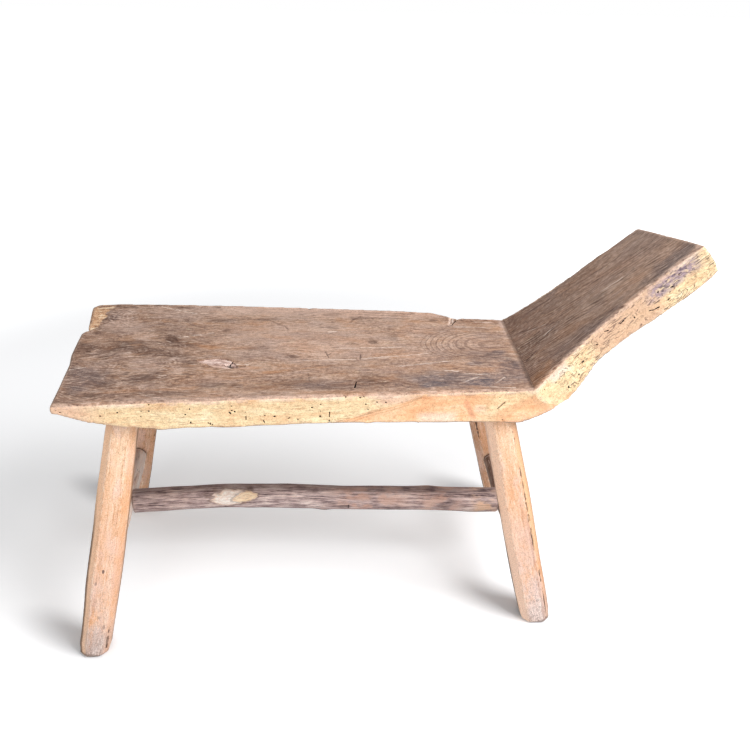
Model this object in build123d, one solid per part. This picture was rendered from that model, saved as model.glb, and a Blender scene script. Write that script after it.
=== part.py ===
"""Low lounge seat hewn from one crooked slab, on four splayed legs joined by pole stretchers.

Millimetres. X runs along the seat with the backrest at +X, Y runs across it with the
rear at +Y, and Z is up from the floor. The finished pieces are shifted so that the
origin is on the floor under the middle of the whole object.
"""
import os
from math import cos, radians, sin

from build123d import *

# ---------------------------------------------------------------- crooked slab, side view
seat_height = 483.0            # floor to the top of the seat
seat_length = 800.0            # left end of the seat to the crease
seat_thickness = 52.0          # the slab over most of the seat
lip_thickness = 14.0           # the slab at its thin left end
lip_run = 195.0                # the underside curves up to the lip over this length
heel_start = 350.0             # the underside starts to drop this far before the crease
heel_drop = 11.0               # and is this much lower where the heel begins
heel_setback = 15.0            # the heel begins this far before the crease
back_tilt = 41.5               # slope of the backrest above the seat, degrees
back_length = 333.0            # crease to the middle of the backrest's end, along the slope
heel_reach = 32.0              # heel corner, along the slope from the crease
heel_thickness = 66.0          # the slab through the heel corner
neck_reach = 112.0             # thinnest place of the backrest
neck_thickness = 46.0
head_reach = 282.0             # thickest place of the backrest
head_thickness = 62.0
back_end_thickness = 58.0
heel_radius = 26.0
underside_bend_radius = 300.0
heel_root_radius = 90.0
neck_radius = 70.0
head_radius = 120.0

# ---------------------------------------------------------------- crooked slab, from above
seat_left_front = 193.0        # half widths, from the centre line to the front edge
seat_middle_front = 173.5
seat_crease_front = 159.0
seat_left_rear = 216.0         # and to the rear edge
seat_middle_rear = 193.0
seat_shoulder_rear = 165.0     # the rear edge is full up to the shoulder
seat_waist_rear = 137.0        # then steps in to this
seat_crease_rear = 128.0
shoulder_setback = 136.0       # shoulder, measured back from the crease
shoulder_step = 45.0           # length of the step
rear_corner_radius = 16.0
end_notch_depth = 11.0         # worn notch in the left end, under the rear corner
end_notch_width = 22.0
end_notch_across = 99.0        # centre line to the notch

neck_front = 126.0             # half widths of the backrest
neck_rear = 101.0
head_front = 109.0
head_rear = 96.0
back_end_front = 103.0
back_end_rear = 76.0
back_end_skew = 16.5           # the end is cut askew, further up at the front, degrees
edge_wear = 4.0                # worn bevel round the top of the seat and the backrest's face

# ---------------------------------------------------------------- legs
leg_top_width = 50.0
leg_middle_width = 58.0
leg_foot_width = 51.0
leg_corner_cut = 13.0          # shaved corners make the section eight-sided
leg_belly = 0.55               # the widest place, as a share of the leg from the floor
foot_wear = 6.0
leg_tenon_radius = 17.5
leg_tenon_rise = 30.0          # tenon above the seat's underside plane, along the leg
leg_spare = 40.0               # the blank is overlong by this at the foot
leg_bury = 20.0                # and by this at the top, before the shoulder is cut to the slab

# where each leg's centre line meets the seat's underside plane, and the floor
front_left_socket = (106.0, -145.0)
front_left_foot = (26.0, -235.0)
front_right_socket = (749.0, -118.0)
front_right_foot = (846.0, -181.0)
rear_left_socket = (113.0, 148.0)
rear_left_foot = (24.0, 216.0)
rear_right_socket = (732.0, 100.0)
rear_right_foot = (847.0, 188.0)

# ---------------------------------------------------------------- stretchers
left_cross_front_height = 161.0   # centre of each cross stretcher's ends above the floor
left_cross_rear_height = 161.0
right_cross_front_height = 130.0
right_cross_rear_height = 158.0
cross_end_radius = 16.5
cross_middle_radius = 19.5
cross_taper = 110.0            # each end is whittled over this length, from the leg's centre
cross_tenon_radius = 12.0
cross_tenon_past_axis = 9.0    # the tenon ends this far past the leg's centre line
long_radius = 23.5
long_crook_rise = 14.0         # the pole bends up to here
long_crook_reach = 210.0       # this far from its left end
long_crook_radius = 2200.0
long_tenon_radius = 10.5
long_tenon_past_axis = 7.0
shoulder_bite = 1.5            # how far a square shoulder beds into the pole it meets

# ---------------------------------------------------------------- fits
side_clearance = 0.2           # between a tenon and the wall of its mortise
end_clearance = 1.0            # between a tenon's end and the bottom of its mortise

beyond = 400.0                 # outlines and cutting solids reach this far past the wood they cut
back_spare = 60.0              # the backrest is drawn this much overlong, then cut at its skewed end


# ---------------------------------------------------------------- slab
def on_back(reach, depth=0.0):
    """Point of the side view: reach up the slope from the crease, depth under the backrest's face."""
    tilt = radians(back_tilt)
    x = seat_length + reach * cos(tilt) + depth * sin(tilt)
    z = seat_height + reach * sin(tilt) - depth * cos(tilt)
    return (x, z)


def back_plane():
    """Plane of the backrest's face: local X up the slope from the crease, local Y to the rear."""
    tilt = radians(back_tilt)
    return Plane(
        origin=(seat_length, 0, seat_height),
        x_dir=(cos(tilt), 0, sin(tilt)),
        z_dir=(-sin(tilt), 0, cos(tilt)),
    )


def slab_side_view():
    """Outline of the crooked slab seen from the front, with the backrest left overlong."""
    underside = seat_height - seat_thickness
    lip = (0, seat_height - lip_thickness)
    lip_end = (lip_run, underside)
    drop_start = (seat_length - heel_start, underside)
    heel_root = (seat_length - heel_setback, underside - heel_drop)
    heel = on_back(heel_reach, heel_thickness)
    neck = on_back(neck_reach, neck_thickness)
    head = on_back(head_reach, head_thickness)
    overlong = back_length + back_spare
    end_low = on_back(overlong, back_end_thickness)
    bends = [underside_bend_radius, heel_root_radius, heel_radius, neck_radius, head_radius]
    with BuildSketch(Plane.XZ) as outline:
        with BuildLine():
            TangentArc(lip_end, lip, tangent=(-1, 0))
            FilletPolyline(lip_end, drop_start, heel_root, heel, neck, head, end_low, radius=bends)
            Polyline(end_low, on_back(overlong), on_back(0), (0, seat_height), lip)
        make_face()
    return outline.sketch


def seat_plan():
    """Outline of the seat from above, run on past the crease at the crease's width."""
    past = seat_length + beyond
    shoulder = seat_length - shoulder_setback
    middle = seat_length / 2
    with BuildSketch() as outline:
        with BuildLine():
            Spline((0, -seat_left_front), (middle, -seat_middle_front), (seat_length, -seat_crease_front))
            Polyline(
                (seat_length, -seat_crease_front),
                (past, -seat_crease_front),
                (past, seat_crease_rear),
                (seat_length, seat_crease_rear),
                (shoulder + shoulder_step, seat_waist_rear),
                (shoulder, seat_shoulder_rear),
            )
            Spline((shoulder, seat_shoulder_rear), (middle, seat_middle_rear), (0, seat_left_rear))
            Line((0, seat_left_rear), (0, -seat_left_front))
        make_face()
        corner = outline.vertices().sort_by_distance((0, seat_left_rear, 0))[0]
        fillet(corner, rear_corner_radius)
        with Locations((0, end_notch_across)):
            Ellipse(end_notch_depth, end_notch_width / 2, mode=Mode.SUBTRACT)
    return outline.sketch


def back_plan():
    """Outline of the backrest on its own plane, wider than the seat below the crease."""
    with BuildSketch() as outline:
        with BuildLine():
            Spline(
                (0, -seat_crease_front),
                (neck_reach, -neck_front),
                (neck_reach + (back_length - neck_reach) / 2, -head_front),
                (back_length + back_spare, -back_end_front),
            )
            Spline(
                (0, seat_crease_rear),
                (neck_reach, neck_rear),
                (neck_reach + (back_length - neck_reach) / 2, head_rear),
                (back_length + back_spare, back_end_rear),
            )
            Line((back_length + back_spare, -back_end_front), (back_length + back_spare, back_end_rear))
            Polyline(
                (0, -seat_crease_front),
                (0, -seat_left_front - beyond),
                (-2 * seat_length, -seat_left_front - beyond),
                (-2 * seat_length, seat_left_rear + beyond),
                (0, seat_left_rear + beyond),
                (0, seat_crease_rear),
            )
        make_face()
    return outline.sketch


def slab_blank():
    """The crooked slab before its mortises are bored."""
    slab = extrude(slab_side_view(), amount=beyond, both=True)
    slab &= extrude(seat_plan(), amount=seat_height + seat_length)
    slab &= back_plane() * extrude(back_plan(), amount=2 * seat_length, both=True)
    skew = radians(back_end_skew)
    end_cut = Plane(back_plane() * Plane(origin=(back_length, 0, 0), z_dir=(cos(skew), sin(skew), 0)))
    slab = split(slab, bisect_by=end_cut, keep=Keep.BOTTOM)
    crease = slab.edges().sort_by_distance((seat_length, 0, seat_height))[0]
    top_faces = [face for face in slab.faces() if crease in face.edges()]
    rim = [edge for face in top_faces for edge in face.edges() if edge != crease]
    return chamfer(rim, edge_wear)


# ---------------------------------------------------------------- legs
class LegAxis:
    """Centre line of a splayed leg, from the floor to the seat's underside plane."""

    def __init__(self, socket, foot):
        self.foot = Vector(*foot, 0)
        self.top = Vector(*socket, seat_height - seat_thickness)
        self.way = (self.top - self.foot).normalized()
        self.length = (self.top - self.foot).length

    def at_height(self, height):
        return self.foot + self.way * (height / self.way.Z)

    def plane(self, along):
        """Plane square to the leg, its local Y level and pointing to the rear."""
        level = Vector(0, 1, 0).cross(self.way).normalized()
        return Plane(origin=self.foot + self.way * along, x_dir=level, z_dir=self.way)


def eight_sided(width):
    square = Rectangle(width, width)
    return chamfer(square.vertices(), leg_corner_cut)


def leg_blank(axis):
    """Shaved eight-sided leg, swelling between foot and top, overlong at both ends."""
    stations = [
        (-leg_spare, leg_foot_width),
        (axis.length * leg_belly, leg_middle_width),
        (axis.length + leg_bury, leg_top_width),
    ]
    return loft([axis.plane(along) * eight_sided(width) for along, width in stations])


def rod(start, end, radius):
    """Straight round rod between two points."""
    way = end - start
    plane = Plane(origin=start, z_dir=way.normalized())
    return plane * extrude(Circle(radius), amount=way.length)


def leg_tenon_rod(axis, rise, extra_radius=0.0):
    """Tenon, or its mortise when given extra, from inside the leg up to its rise in the slab."""
    start = axis.top - axis.way * leg_middle_width
    return rod(start, axis.top + axis.way * rise, leg_tenon_radius + extra_radius)


def stand_on_floor(leg):
    """Cut the overlong foot at the floor and round its worn edge."""
    leg = split(leg, bisect_by=Plane.XY, keep=Keep.TOP)
    sole = leg.faces().sort_by(Axis.Z)[0]
    return fillet(sole.edges(), foot_wear)


# ---------------------------------------------------------------- stretchers
def plane_along(start, end):
    """Plane with local X from start to end and local Y upwards."""
    way = (end - start).normalized()
    across = way.cross(Vector(0, 0, 1))
    return Plane(origin=start, x_dir=way, z_dir=across)


class CrossStretcher:
    """Pole from a front leg to the rear leg behind it, tenoned into both."""

    def __init__(self, front_axis, front_height, rear_axis, rear_height):
        self.start = front_axis.at_height(front_height)
        self.end = rear_axis.at_height(rear_height)
        self.way = (self.end - self.start).normalized()
        self.middle = (self.start + self.end) / 2

    def blank(self):
        """Pole from leg centre to leg centre, whittled thinner towards both, with no shoulders yet."""
        length = (self.end - self.start).length
        with BuildSketch() as half:
            with BuildLine():
                Polyline(
                    (0, 0),
                    (0, cross_end_radius),
                    (cross_taper, cross_middle_radius),
                    (length - cross_taper, cross_middle_radius),
                    (length, cross_end_radius),
                    (length, 0),
                    close=True,
                )
            make_face()
        return plane_along(self.start, self.end) * revolve(half.sketch, axis=Axis.X)

    def tenon_rod(self, past, extra_radius=0.0):
        reach = self.way * past
        return rod(self.start - reach, self.end + reach, cross_tenon_radius + extra_radius)


def long_pole(start, end):
    """Crooked pole between the middles of the two cross stretchers, with square shoulders."""
    inset = cross_middle_radius - shoulder_bite
    length = (end - start).length - 2 * inset
    centre_line = FilletPolyline(
        (0, 0), (long_crook_reach, long_crook_rise), (length, 0), radius=long_crook_radius
    )
    ring = Plane(origin=centre_line @ 0, z_dir=centre_line % 0) * Circle(long_radius)
    bent = sweep(ring, path=centre_line)
    return plane_along(start, end) * Pos(inset, 0, 0) * bent


def long_tenon_rod(start, end, past, extra_radius=0.0):
    reach = (end - start).normalized() * past
    return rod(start - reach, end + reach, long_tenon_radius + extra_radius)


# ---------------------------------------------------------------- assembly
def build_seat():
    """Every piece in place, as a dictionary of node name to solid."""
    axes = {
        "front_left_leg": LegAxis(front_left_socket, front_left_foot),
        "front_right_leg": LegAxis(front_right_socket, front_right_foot),
        "rear_left_leg": LegAxis(rear_left_socket, rear_left_foot),
        "rear_right_leg": LegAxis(rear_right_socket, rear_right_foot),
    }
    crosses = {
        "left": CrossStretcher(
            axes["front_left_leg"], left_cross_front_height, axes["rear_left_leg"], left_cross_rear_height
        ),
        "right": CrossStretcher(
            axes["front_right_leg"], right_cross_front_height, axes["rear_right_leg"], right_cross_rear_height
        ),
    }
    middles = (crosses["left"].middle, crosses["right"].middle)
    slab = slab_blank()
    legs = {name: leg_blank(axis) for name, axis in axes.items()}
    pieces = {}

    for side, cross in crosses.items():
        piece = cross.blank() - legs[f"front_{side}_leg"] - legs[f"rear_{side}_leg"]
        piece += cross.tenon_rod(cross_tenon_past_axis)
        mortise = long_tenon_rod(*middles, long_tenon_past_axis + end_clearance, side_clearance)
        pieces[f"cross_stretcher_{side}"] = piece - mortise

    long_piece = long_pole(*middles)
    for cross in crosses.values():
        long_piece -= cross.blank()
    long_piece += long_tenon_rod(*middles, long_tenon_past_axis)
    pieces["long_stretcher"] = long_piece

    for name, axis in axes.items():
        side = "left" if "left" in name else "right"
        leg = stand_on_floor(legs[name] - slab)
        leg += leg_tenon_rod(axis, leg_tenon_rise)
        leg -= crosses[side].tenon_rod(cross_tenon_past_axis + end_clearance, side_clearance)
        pieces[name] = leg

    for axis in axes.values():
        slab -= leg_tenon_rod(axis, leg_tenon_rise + end_clearance, side_clearance)
    pieces["seat_back_slab"] = slab
    return pieces


def centred(pieces):
    """Shift every piece so that the origin is on the floor under the middle of the whole."""
    box = Compound(children=[Compound(solid.solids()) for solid in pieces.values()]).bounding_box()
    shift = Pos(-box.center().X, -box.center().Y, -box.min.Z)
    return {name: shift * solid for name, solid in pieces.items()}


os.makedirs("parts", exist_ok=True)
for node_name, node_solid in centred(build_seat()).items():
    node_solid.label = node_name
    export_step(node_solid, f"parts/{node_name}.step")
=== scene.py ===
# %% [markdown]
# # A bench with a raised end, hewn from one crooked plank
# The seat and the backrest are one piece of wood, split from a trunk where it bends. Four
# shaved legs stand in blind holes under the seat, and three poles tie the legs together like
# the letter H. This lesson dresses the packed solids with worn wood. It starts with the tools
# that every later cell uses, and with the solids themselves.

# %% load the solids
import math

import bmesh
import bpy
import numpy as np
from mathutils import Matrix, Vector
from mathutils.bvhtree import BVHTree


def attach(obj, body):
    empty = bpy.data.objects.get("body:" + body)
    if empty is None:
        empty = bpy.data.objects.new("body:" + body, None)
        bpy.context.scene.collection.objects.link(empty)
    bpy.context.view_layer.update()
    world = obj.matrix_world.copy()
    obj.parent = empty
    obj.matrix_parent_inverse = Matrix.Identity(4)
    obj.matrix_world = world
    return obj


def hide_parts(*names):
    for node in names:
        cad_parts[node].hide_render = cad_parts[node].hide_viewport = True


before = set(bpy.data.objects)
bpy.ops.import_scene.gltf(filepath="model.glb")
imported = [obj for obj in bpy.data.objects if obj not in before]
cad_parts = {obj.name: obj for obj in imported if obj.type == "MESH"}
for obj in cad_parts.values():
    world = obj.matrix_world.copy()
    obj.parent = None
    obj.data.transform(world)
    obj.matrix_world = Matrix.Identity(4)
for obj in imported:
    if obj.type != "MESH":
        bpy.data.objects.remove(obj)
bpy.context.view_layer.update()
scene = bpy.context.scene
print("solids:", sorted(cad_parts))

# %% [markdown]
# ## Where the camera stands
# The view is from the front, a little to the left of the middle and above the backrest, with a
# lens a bit longer than a normal one. The camera is turned by three angles: round the upright
# axis, then down, then a small roll, so the matrix is built from its three axes.

# %% camera
view_from = Vector((-0.13933, -1.51263, 1.2416))
turn, down, roll = (math.radians(a) for a in (4.687, 27.975, 1.588))
ahead = Vector((math.sin(turn) * math.cos(down), math.cos(turn) * math.cos(down), -math.sin(down)))
level = Vector((math.cos(turn), -math.sin(turn), 0))
above = level.cross(ahead)
right = math.cos(roll) * level + math.sin(roll) * above
upward = math.cos(roll) * above - math.sin(roll) * level

camera_data = bpy.data.cameras.new("camera")
camera_data.lens = 44.654
camera_data.sensor_width = 36
camera = bpy.data.objects.new("camera", camera_data)
scene.collection.objects.link(camera)
camera.matrix_world = Matrix((right, upward, -ahead)).transposed().to_4x4()
camera.location = view_from
scene.camera = camera
scene.view_settings.view_transform = "Standard"
print("camera at", tuple(round(c, 3) for c in camera.location))

# %% [markdown]
# ## Shader sums in plain Python
# A finish is a net of small nodes. Wiring them by hand hides the sum that they stand for, so one
# class wraps a socket and takes over the operators: `1 - mask` adds a Math node. It also knows
# the moves that come back all the time: a soft step, a band, a wave, a ramp of colours, and a
# coat of paint over the colour that is there.

# %% wires
def operator(name, swapped=False):
    """A Python operator that adds a Math node."""
    def apply(self, *others):
        parts = (*others, self) if swapped else (self, *others)
        return self.finish.add("ShaderNodeMath", {"operation": name}, dict(enumerate(parts)))
    return apply


class Wire:
    """One number, colour or vector that runs through a finish."""

    __add__, __radd__ = operator("ADD"), operator("ADD", swapped=True)
    __sub__, __rsub__ = operator("SUBTRACT"), operator("SUBTRACT", swapped=True)
    __mul__, __rmul__ = operator("MULTIPLY"), operator("MULTIPLY", swapped=True)
    __truediv__, __pow__ = operator("DIVIDE"), operator("POWER")
    __abs__, root, sine = operator("ABSOLUTE"), operator("SQRT"), operator("SINE")
    most = operator("MAXIMUM")

    def __init__(self, finish, socket):
        self.finish, self.socket = finish, socket

    def wave(self, times):
        """A sine that runs through so many waves while the value grows by one."""
        return (self * (2 * math.pi * times)).sine()

    def rise(self, low, high, to_low=0.0, to_high=1.0):
        """A soft step: to_low where the value is under low, to_high where it is over high."""
        return self.finish.add("ShaderNodeMapRange", {"interpolation_type": "SMOOTHSTEP"},
                               {"Value": self, "From Min": low, "From Max": high,
                                "To Min": to_low, "To Max": to_high})

    def band(self, middle, half, soft):
        """1 within half of the middle, falling to 0 over soft on each side."""
        return abs(self - middle).rise(half, half + soft, 1.0, 0.0)

    def ramp(self, *stops):
        """Turns a number into a colour; each stop is (number, colour)."""
        return self.finish.add("ShaderNodeValToRGB", {"stops": stops}, {0: self})

    def coat(self, share, shade, blend="MIX"):
        """Lays another colour over this one, as thick as share says."""
        self.socket = self.finish.mix(share, self, shade, blend).socket


def colour(red, green, blue):
    """A colour as a paint shop mixes it on screen, 0 to 255, in the renderer's linear light."""
    parts = [c / 255 for c in (red, green, blue)]
    return tuple(c / 12.92 if c <= 0.04045 else ((c + 0.055) / 1.055) ** 2.4 for c in parts) + (1.0,)


def as_paint(shade):
    """Three numbers are a colour on screen; four numbers or a wire are used as they are."""
    return colour(*shade) if isinstance(shade, tuple) and len(shade) == 3 else shade


print("a mid brown is", tuple(round(c, 3) for c in colour(165, 137, 120)))

# %% [markdown]
# ## One finish
# A second class holds a material, or the world, and adds every node in the same order: its
# settings, then the values or links of its sockets. Noise and attributes are the raw stuff of
# all the finishes below, and the last step joins colour, roughness and bumps in one surface.

# %% finishes
class Finish:
    """The nodes of one material or world, and the ways in which they are added."""

    def __init__(self, owner):
        self.owner = owner
        owner.use_nodes = True
        self.tree = owner.node_tree
        self.tree.nodes.clear()

    def add(self, kind, settings=None, sockets=None, out=0):
        node = self.tree.nodes.new(kind)
        for key, value in (settings or {}).items():
            if key == "stops":
                elements = node.color_ramp.elements
                while len(elements) < len(value):
                    elements.new(0.5)
                for element, (position, shade) in zip(elements, value):
                    element.position, element.color = position, as_paint(shade)
            else:
                setattr(node, key, value)
        for key, value in (sockets or {}).items():
            if isinstance(value, Wire):
                self.tree.links.new(value.socket, node.inputs[key])
            else:
                node.inputs[key].default_value = value
        return Wire(self, node.outputs[out]) if node.outputs else node

    def part(self, vector, axis):
        return self.add("ShaderNodeSeparateXYZ", None, {0: vector}, out=axis)

    def attribute(self, name):
        """The vector that the mesh carries under this name, and its three numbers."""
        vector = self.add("ShaderNodeAttribute", {"attribute_name": name}, out="Vector")
        return vector, [self.part(vector, axis) for axis in "XYZ"]

    def stretch(self, vector, times, shift=(0, 0, 0)):
        return self.add("ShaderNodeVectorMath", {"operation": "MULTIPLY_ADD"},
                        {0: vector, 1: times, 2: shift})

    def noise(self, vector, times, detail=3, rough=0.55, warp=0.0, shift=(0, 0, 0), out=0):
        return self.add("ShaderNodeTexNoise", {"noise_dimensions": "3D"},
                        {"Vector": self.stretch(vector, times, shift), "Scale": 1.0,
                         "Detail": detail, "Roughness": rough, "Distortion": warp}, out)

    def mix(self, share, first, second, blend="MIX"):
        return self.add("ShaderNodeMix", {"data_type": "RGBA", "blend_type": blend},
                        {0: share, 6: as_paint(first), 7: as_paint(second)}, out=2)

    def surface(self, shade, roughness, bumps):
        """Joins colour, roughness and bumps, which are (height, distance) from coarse to fine."""
        normal = None
        for height, distance in bumps:
            sockets = {"Height": height, "Distance": distance, "Strength": 1.0}
            if normal:
                sockets["Normal"] = normal
            normal = self.add("ShaderNodeBump", None, sockets)
        whole = self.add("ShaderNodeBsdfPrincipled", None,
                         {"Base Color": shade, "Roughness": roughness, "Normal": normal,
                          "Specular IOR Level": 0.3})
        self.add("ShaderNodeOutputMaterial", None, {"Surface": whole})
        return self.owner

    def tell(self, done):
        print(self.owner.name, "has", len(self.tree.nodes), "nodes:", done)


print("ways to add nodes:", [name for name in vars(Finish) if not name.startswith("_")])

# %% [markdown]
# ## The room
# The bench stands in a white room. One large lamp hangs to the right in front, so the shadows
# fall to the left and back with soft edges. A second, larger one fills the front, and the white
# world does the rest. The floor is a plain matt white, with a little glow that only the camera
# sees, so that it is pure white where no shadow falls. The glow fades in a soft ellipse behind
# each foot, which paints a deeper shadow there than the lamps cast.

# %% floor, lamps and world
floor_mesh = bpy.data.meshes.new("floor")
floor_mesh.from_pydata([(-9, -9, 0), (9, -9, 0), (9, 9, 0), (-9, 9, 0)], [], [(0, 1, 2, 3)])
floor = bpy.data.objects.new("floor", floor_mesh)
scene.collection.objects.link(floor)

near_glow, far_glow = 0.28, 0.9
feet = ((-0.529, -0.226), (0.291, -0.172), (-0.531, 0.225), (0.292, 0.197))
shade_left, shade_back, shade_start = 0.83, 0.56, 0.055
shade_half_long, shade_half_wide = 0.17, 0.065

floor_paint = Finish(bpy.data.materials.new("floor_paint"))
seen = floor_paint.add("ShaderNodeLightPath", out="Is Camera Ray")
spot = floor_paint.add("ShaderNodeTexCoord", out="Object")
off = floor_paint.add("ShaderNodeVectorMath", {"operation": "DISTANCE"},
                      {0: spot, 1: (-0.15, 0.1, 0)}, out="Value")
floor_x, floor_y = floor_paint.part(spot, "X"), floor_paint.part(spot, "Y")
# painted shadow: the glow is taken away in a soft ellipse behind each foot
painted_foot_shadow = 0 * off
for foot_x, foot_y in feet:
    away_along = (foot_x - floor_x) * shade_left + (floor_y - foot_y) * shade_back
    away_along = (away_along - shade_start) / shade_half_long
    away_across = (floor_x - foot_x) * shade_back + (floor_y - foot_y) * shade_left
    away_across = away_across / shade_half_wide
    painted_foot_shadow = painted_foot_shadow.most((away_along ** 2 + away_across ** 2).root().rise(1.0, 0.15))
matt = floor_paint.add("ShaderNodeBsdfDiffuse", None, {"Color": colour(244, 245, 247)})
glow = floor_paint.add("ShaderNodeEmission", None,
                       {"Strength": seen * off.rise(1.2, 2.0, near_glow, far_glow) * (1 - painted_foot_shadow)})
both = floor_paint.add("ShaderNodeAddShader", None, {0: matt, 1: glow})
floor_paint.add("ShaderNodeOutputMaterial", None, {"Surface": both})
floor_mesh.materials.append(floor_paint.owner)

room_light = 0.38
room = Finish(bpy.data.worlds.new("white_room"))
seen = room.add("ShaderNodeLightPath", out="Is Camera Ray")
sky = room.add("ShaderNodeBackground", None,
               {"Color": (1, 1, 1, 1), "Strength": seen * (1 - room_light) + room_light})
room.add("ShaderNodeOutputWorld", None, {"Surface": sky})
scene.world = room.owner


def hang_lamp(name, towards, distance, size, power):
    """A square lamp that looks at the middle of the bench from one direction."""
    lamp = bpy.data.lights.new(name, "AREA")
    lamp.shape, lamp.size, lamp.energy = "SQUARE", size, power
    hung = bpy.data.objects.new(name, lamp)
    scene.collection.objects.link(hung)
    side = Vector(towards).normalized()
    hung.location = Vector((-0.1, 0, 0.35)) + side * distance
    hung.rotation_euler = side.to_track_quat("Z", "Y").to_euler()
    print(name, "at", tuple(round(c, 2) for c in hung.location))


hang_lamp("key_lamp", (0.565, -0.385, 0.73), 3.2, 1.7, 88)
hang_lamp("front_lamp", (-0.1, -0.88, 0.45), 3.6, 3.2, 43)

# %% [markdown]
# ## From a solid to a skin that can be carved
# The solids have the right shape, but their faces are few and long, and a hewn surface needs
# many small, even ones. The voxel remesh gives that: it fills the solid with small cubes and
# wraps them in a fine net. The net steps a little from cube to cube, and a few rounds of
# smoothing, each followed by an equal swelling, take the steps away without shrinking the wood.

# %% an even skin
def net_of(piece):
    """The corners of a piece, its outward directions, and the pairs of corners that edges join."""
    mesh = piece.data
    co = np.empty(len(mesh.vertices) * 3)
    mesh.vertices.foreach_get("co", co)
    out = np.empty(len(mesh.vertices) * 3, np.float32)
    mesh.vertex_normals.foreach_get("vector", out)
    pairs = np.empty(len(mesh.edges) * 2, np.int32)
    mesh.edges.foreach_get("vertices", pairs)
    return co.reshape(-1, 3), out.astype(float).reshape(-1, 3), pairs.reshape(-1, 2)


def move_corners(piece, co):
    piece.data.vertices.foreach_set("co", co.ravel())
    piece.data.update()


def neighbour_mean(values, pairs):
    """For each corner, the mean of the corners that its edges lead to."""
    a, b = pairs.T
    count = np.bincount(a, minlength=len(values)) + np.bincount(b, minlength=len(values))
    total = np.stack([np.bincount(a, v[b], len(values)) + np.bincount(b, v[a], len(values))
                      for v in values.T], -1)
    return total / count[:, None]


def smooth(co, pairs, rounds):
    for _ in range(rounds):
        for share in (0.5, -0.52):
            co = co + share * (neighbour_mean(co, pairs) - co)
    return co


def even_skin(node, spacing, rounds):
    """A copy of a packed solid with an even net of faces, and the piece that stands for it."""
    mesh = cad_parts[node].data.copy()
    mesh.materials.clear()
    net = bmesh.new()
    net.from_mesh(mesh)
    bmesh.ops.remove_doubles(net, verts=net.verts, dist=1e-5)
    net.to_mesh(mesh)
    net.free()
    piece = bpy.data.objects.new("worn_" + node, mesh)
    scene.collection.objects.link(piece)
    remesh = piece.modifiers.new("remesh", "REMESH")
    remesh.mode, remesh.voxel_size = "VOXEL", spacing
    remeshed = piece.evaluated_get(bpy.context.evaluated_depsgraph_get())
    piece.data = bpy.data.meshes.new_from_object(remeshed)
    piece.modifiers.clear()
    co, _, pairs = net_of(piece)
    move_corners(piece, smooth(co, pairs, rounds))
    print(piece.name, "has", len(co), "corners")
    return piece


def bulge_of(piece, rounds=5, scale=0.0008):
    """From -1 in hollows to 1 on edges: how far a corner stands out from a smoothed copy."""
    co, out, pairs = net_of(piece)
    calm = co
    for _ in range(rounds):
        calm = neighbour_mean(calm, pairs)
    return np.clip(((co - calm) * out).sum(1) / scale, -1, 1)


def keep(piece, name, *columns):
    """Writes three numbers a corner on the mesh, for the finish to read."""
    made = piece.data.attributes.new(name, "FLOAT_VECTOR", "POINT")
    made.data.foreach_set("vector", np.stack(columns, -1).astype(np.float32).ravel())


# %% [markdown]
# ## Soft randomness
# Hand work is uneven in a smooth way. A table of random numbers on a grid, blended from cell to
# cell, gives that at any size. It is seeded, so the bench is the same each time.

# %% ripples
def ripple(points, size, seed):
    """Smooth noise from -1 to 1, whose bumps are about this size in metres."""
    table = np.random.default_rng(seed).uniform(-1, 1, (32, 32, 32))
    grid_at = np.asarray(points) / size + 100.37
    cell = np.floor(grid_at).astype(int)
    part = grid_at - cell
    part = part * part * (3 - 2 * part)
    total = 0
    for step in np.ndindex(2, 2, 2):
        weight = np.prod(np.where(step, part, 1 - part), axis=1)
        total = total + weight * table[tuple(((cell + step) % 32).T)]
    return total


def fade(values, start, end):
    """A soft step from 0 at start to 1 at end."""
    t = np.clip((values - start) / (end - start), 0, 1)
    return t * t * (3 - 2 * t)


print("ripple at one point:", round(float(ripple([[0.1, 0.2, 0.3]], 0.05, 1)[0]), 3))

# %% [markdown]
# ## The plank's own measure
# Grain follows the trunk, so every mark is placed in the wood's own measure: how far along, how
# far across and how deep under the top. Along is 0 at the crease, negative towards the seat's
# free end. Past the crease it goes up the backrest, and between the two it turns round the
# crease like the hand of a clock, so that the grain on the sides bends without a break.

# %% wood measure
seat_height, crease, middle_line = 0.483, 0.2453, 0.0095
front_side = -0.165
back_tilt = math.radians(41.5)
turn_run = 0.03


def wood_measure(co):
    """Along, across and deep for each point."""
    x, up = co[:, 0] - crease, co[:, 2] - seat_height
    past_turn = x * math.cos(back_tilt) + up * math.sin(back_tilt)
    under_back = x * math.sin(back_tilt) - up * math.cos(back_tilt)
    on_seat, on_back = x <= 0, (x > 0) & (past_turn >= 0)
    in_turn = turn_run * np.arctan2(x, -up) / back_tilt
    along = np.where(on_seat, x, np.where(on_back, turn_run + past_turn, in_turn))
    deep = np.where(on_seat, -up, np.where(on_back, under_back, np.hypot(x, up)))
    return np.stack([along, co[:, 1] - middle_line, deep], -1)


slab = even_skin("seat_back_slab", 0.003, 6)
co, out, pairs = net_of(slab)
wood = wood_measure(co)
print("along", wood[:, 0].min().round(3), "to", wood[:, 0].max().round(3),
      "deepest", wood[:, 2].max().round(3))

# %% [markdown]
# ## Splits and cuts in the plank
# A split knot, a slit across the grain, a cleft in the rear edge, two drying checks and the
# mouths of worm holes in the front side are real hollows. Each is a short line in the wood's
# measure, in millimetres, with a width and a depth.

# %% list the cuts
class Cut:
    """A hollow along a short line, in metres: start, end, width and depth."""

    def __init__(self, start, end, wide, deep):
        self.start, self.end, self.wide, self.deep = start, end, wide, deep

    def away_from(self, points):
        """How far each point lies from the line."""
        line = self.end - self.start
        share = np.clip((points - self.start) @ line / (line @ line), 0, 1)
        return np.linalg.norm(points - self.start - share[:, None] * line, axis=1)


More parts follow.
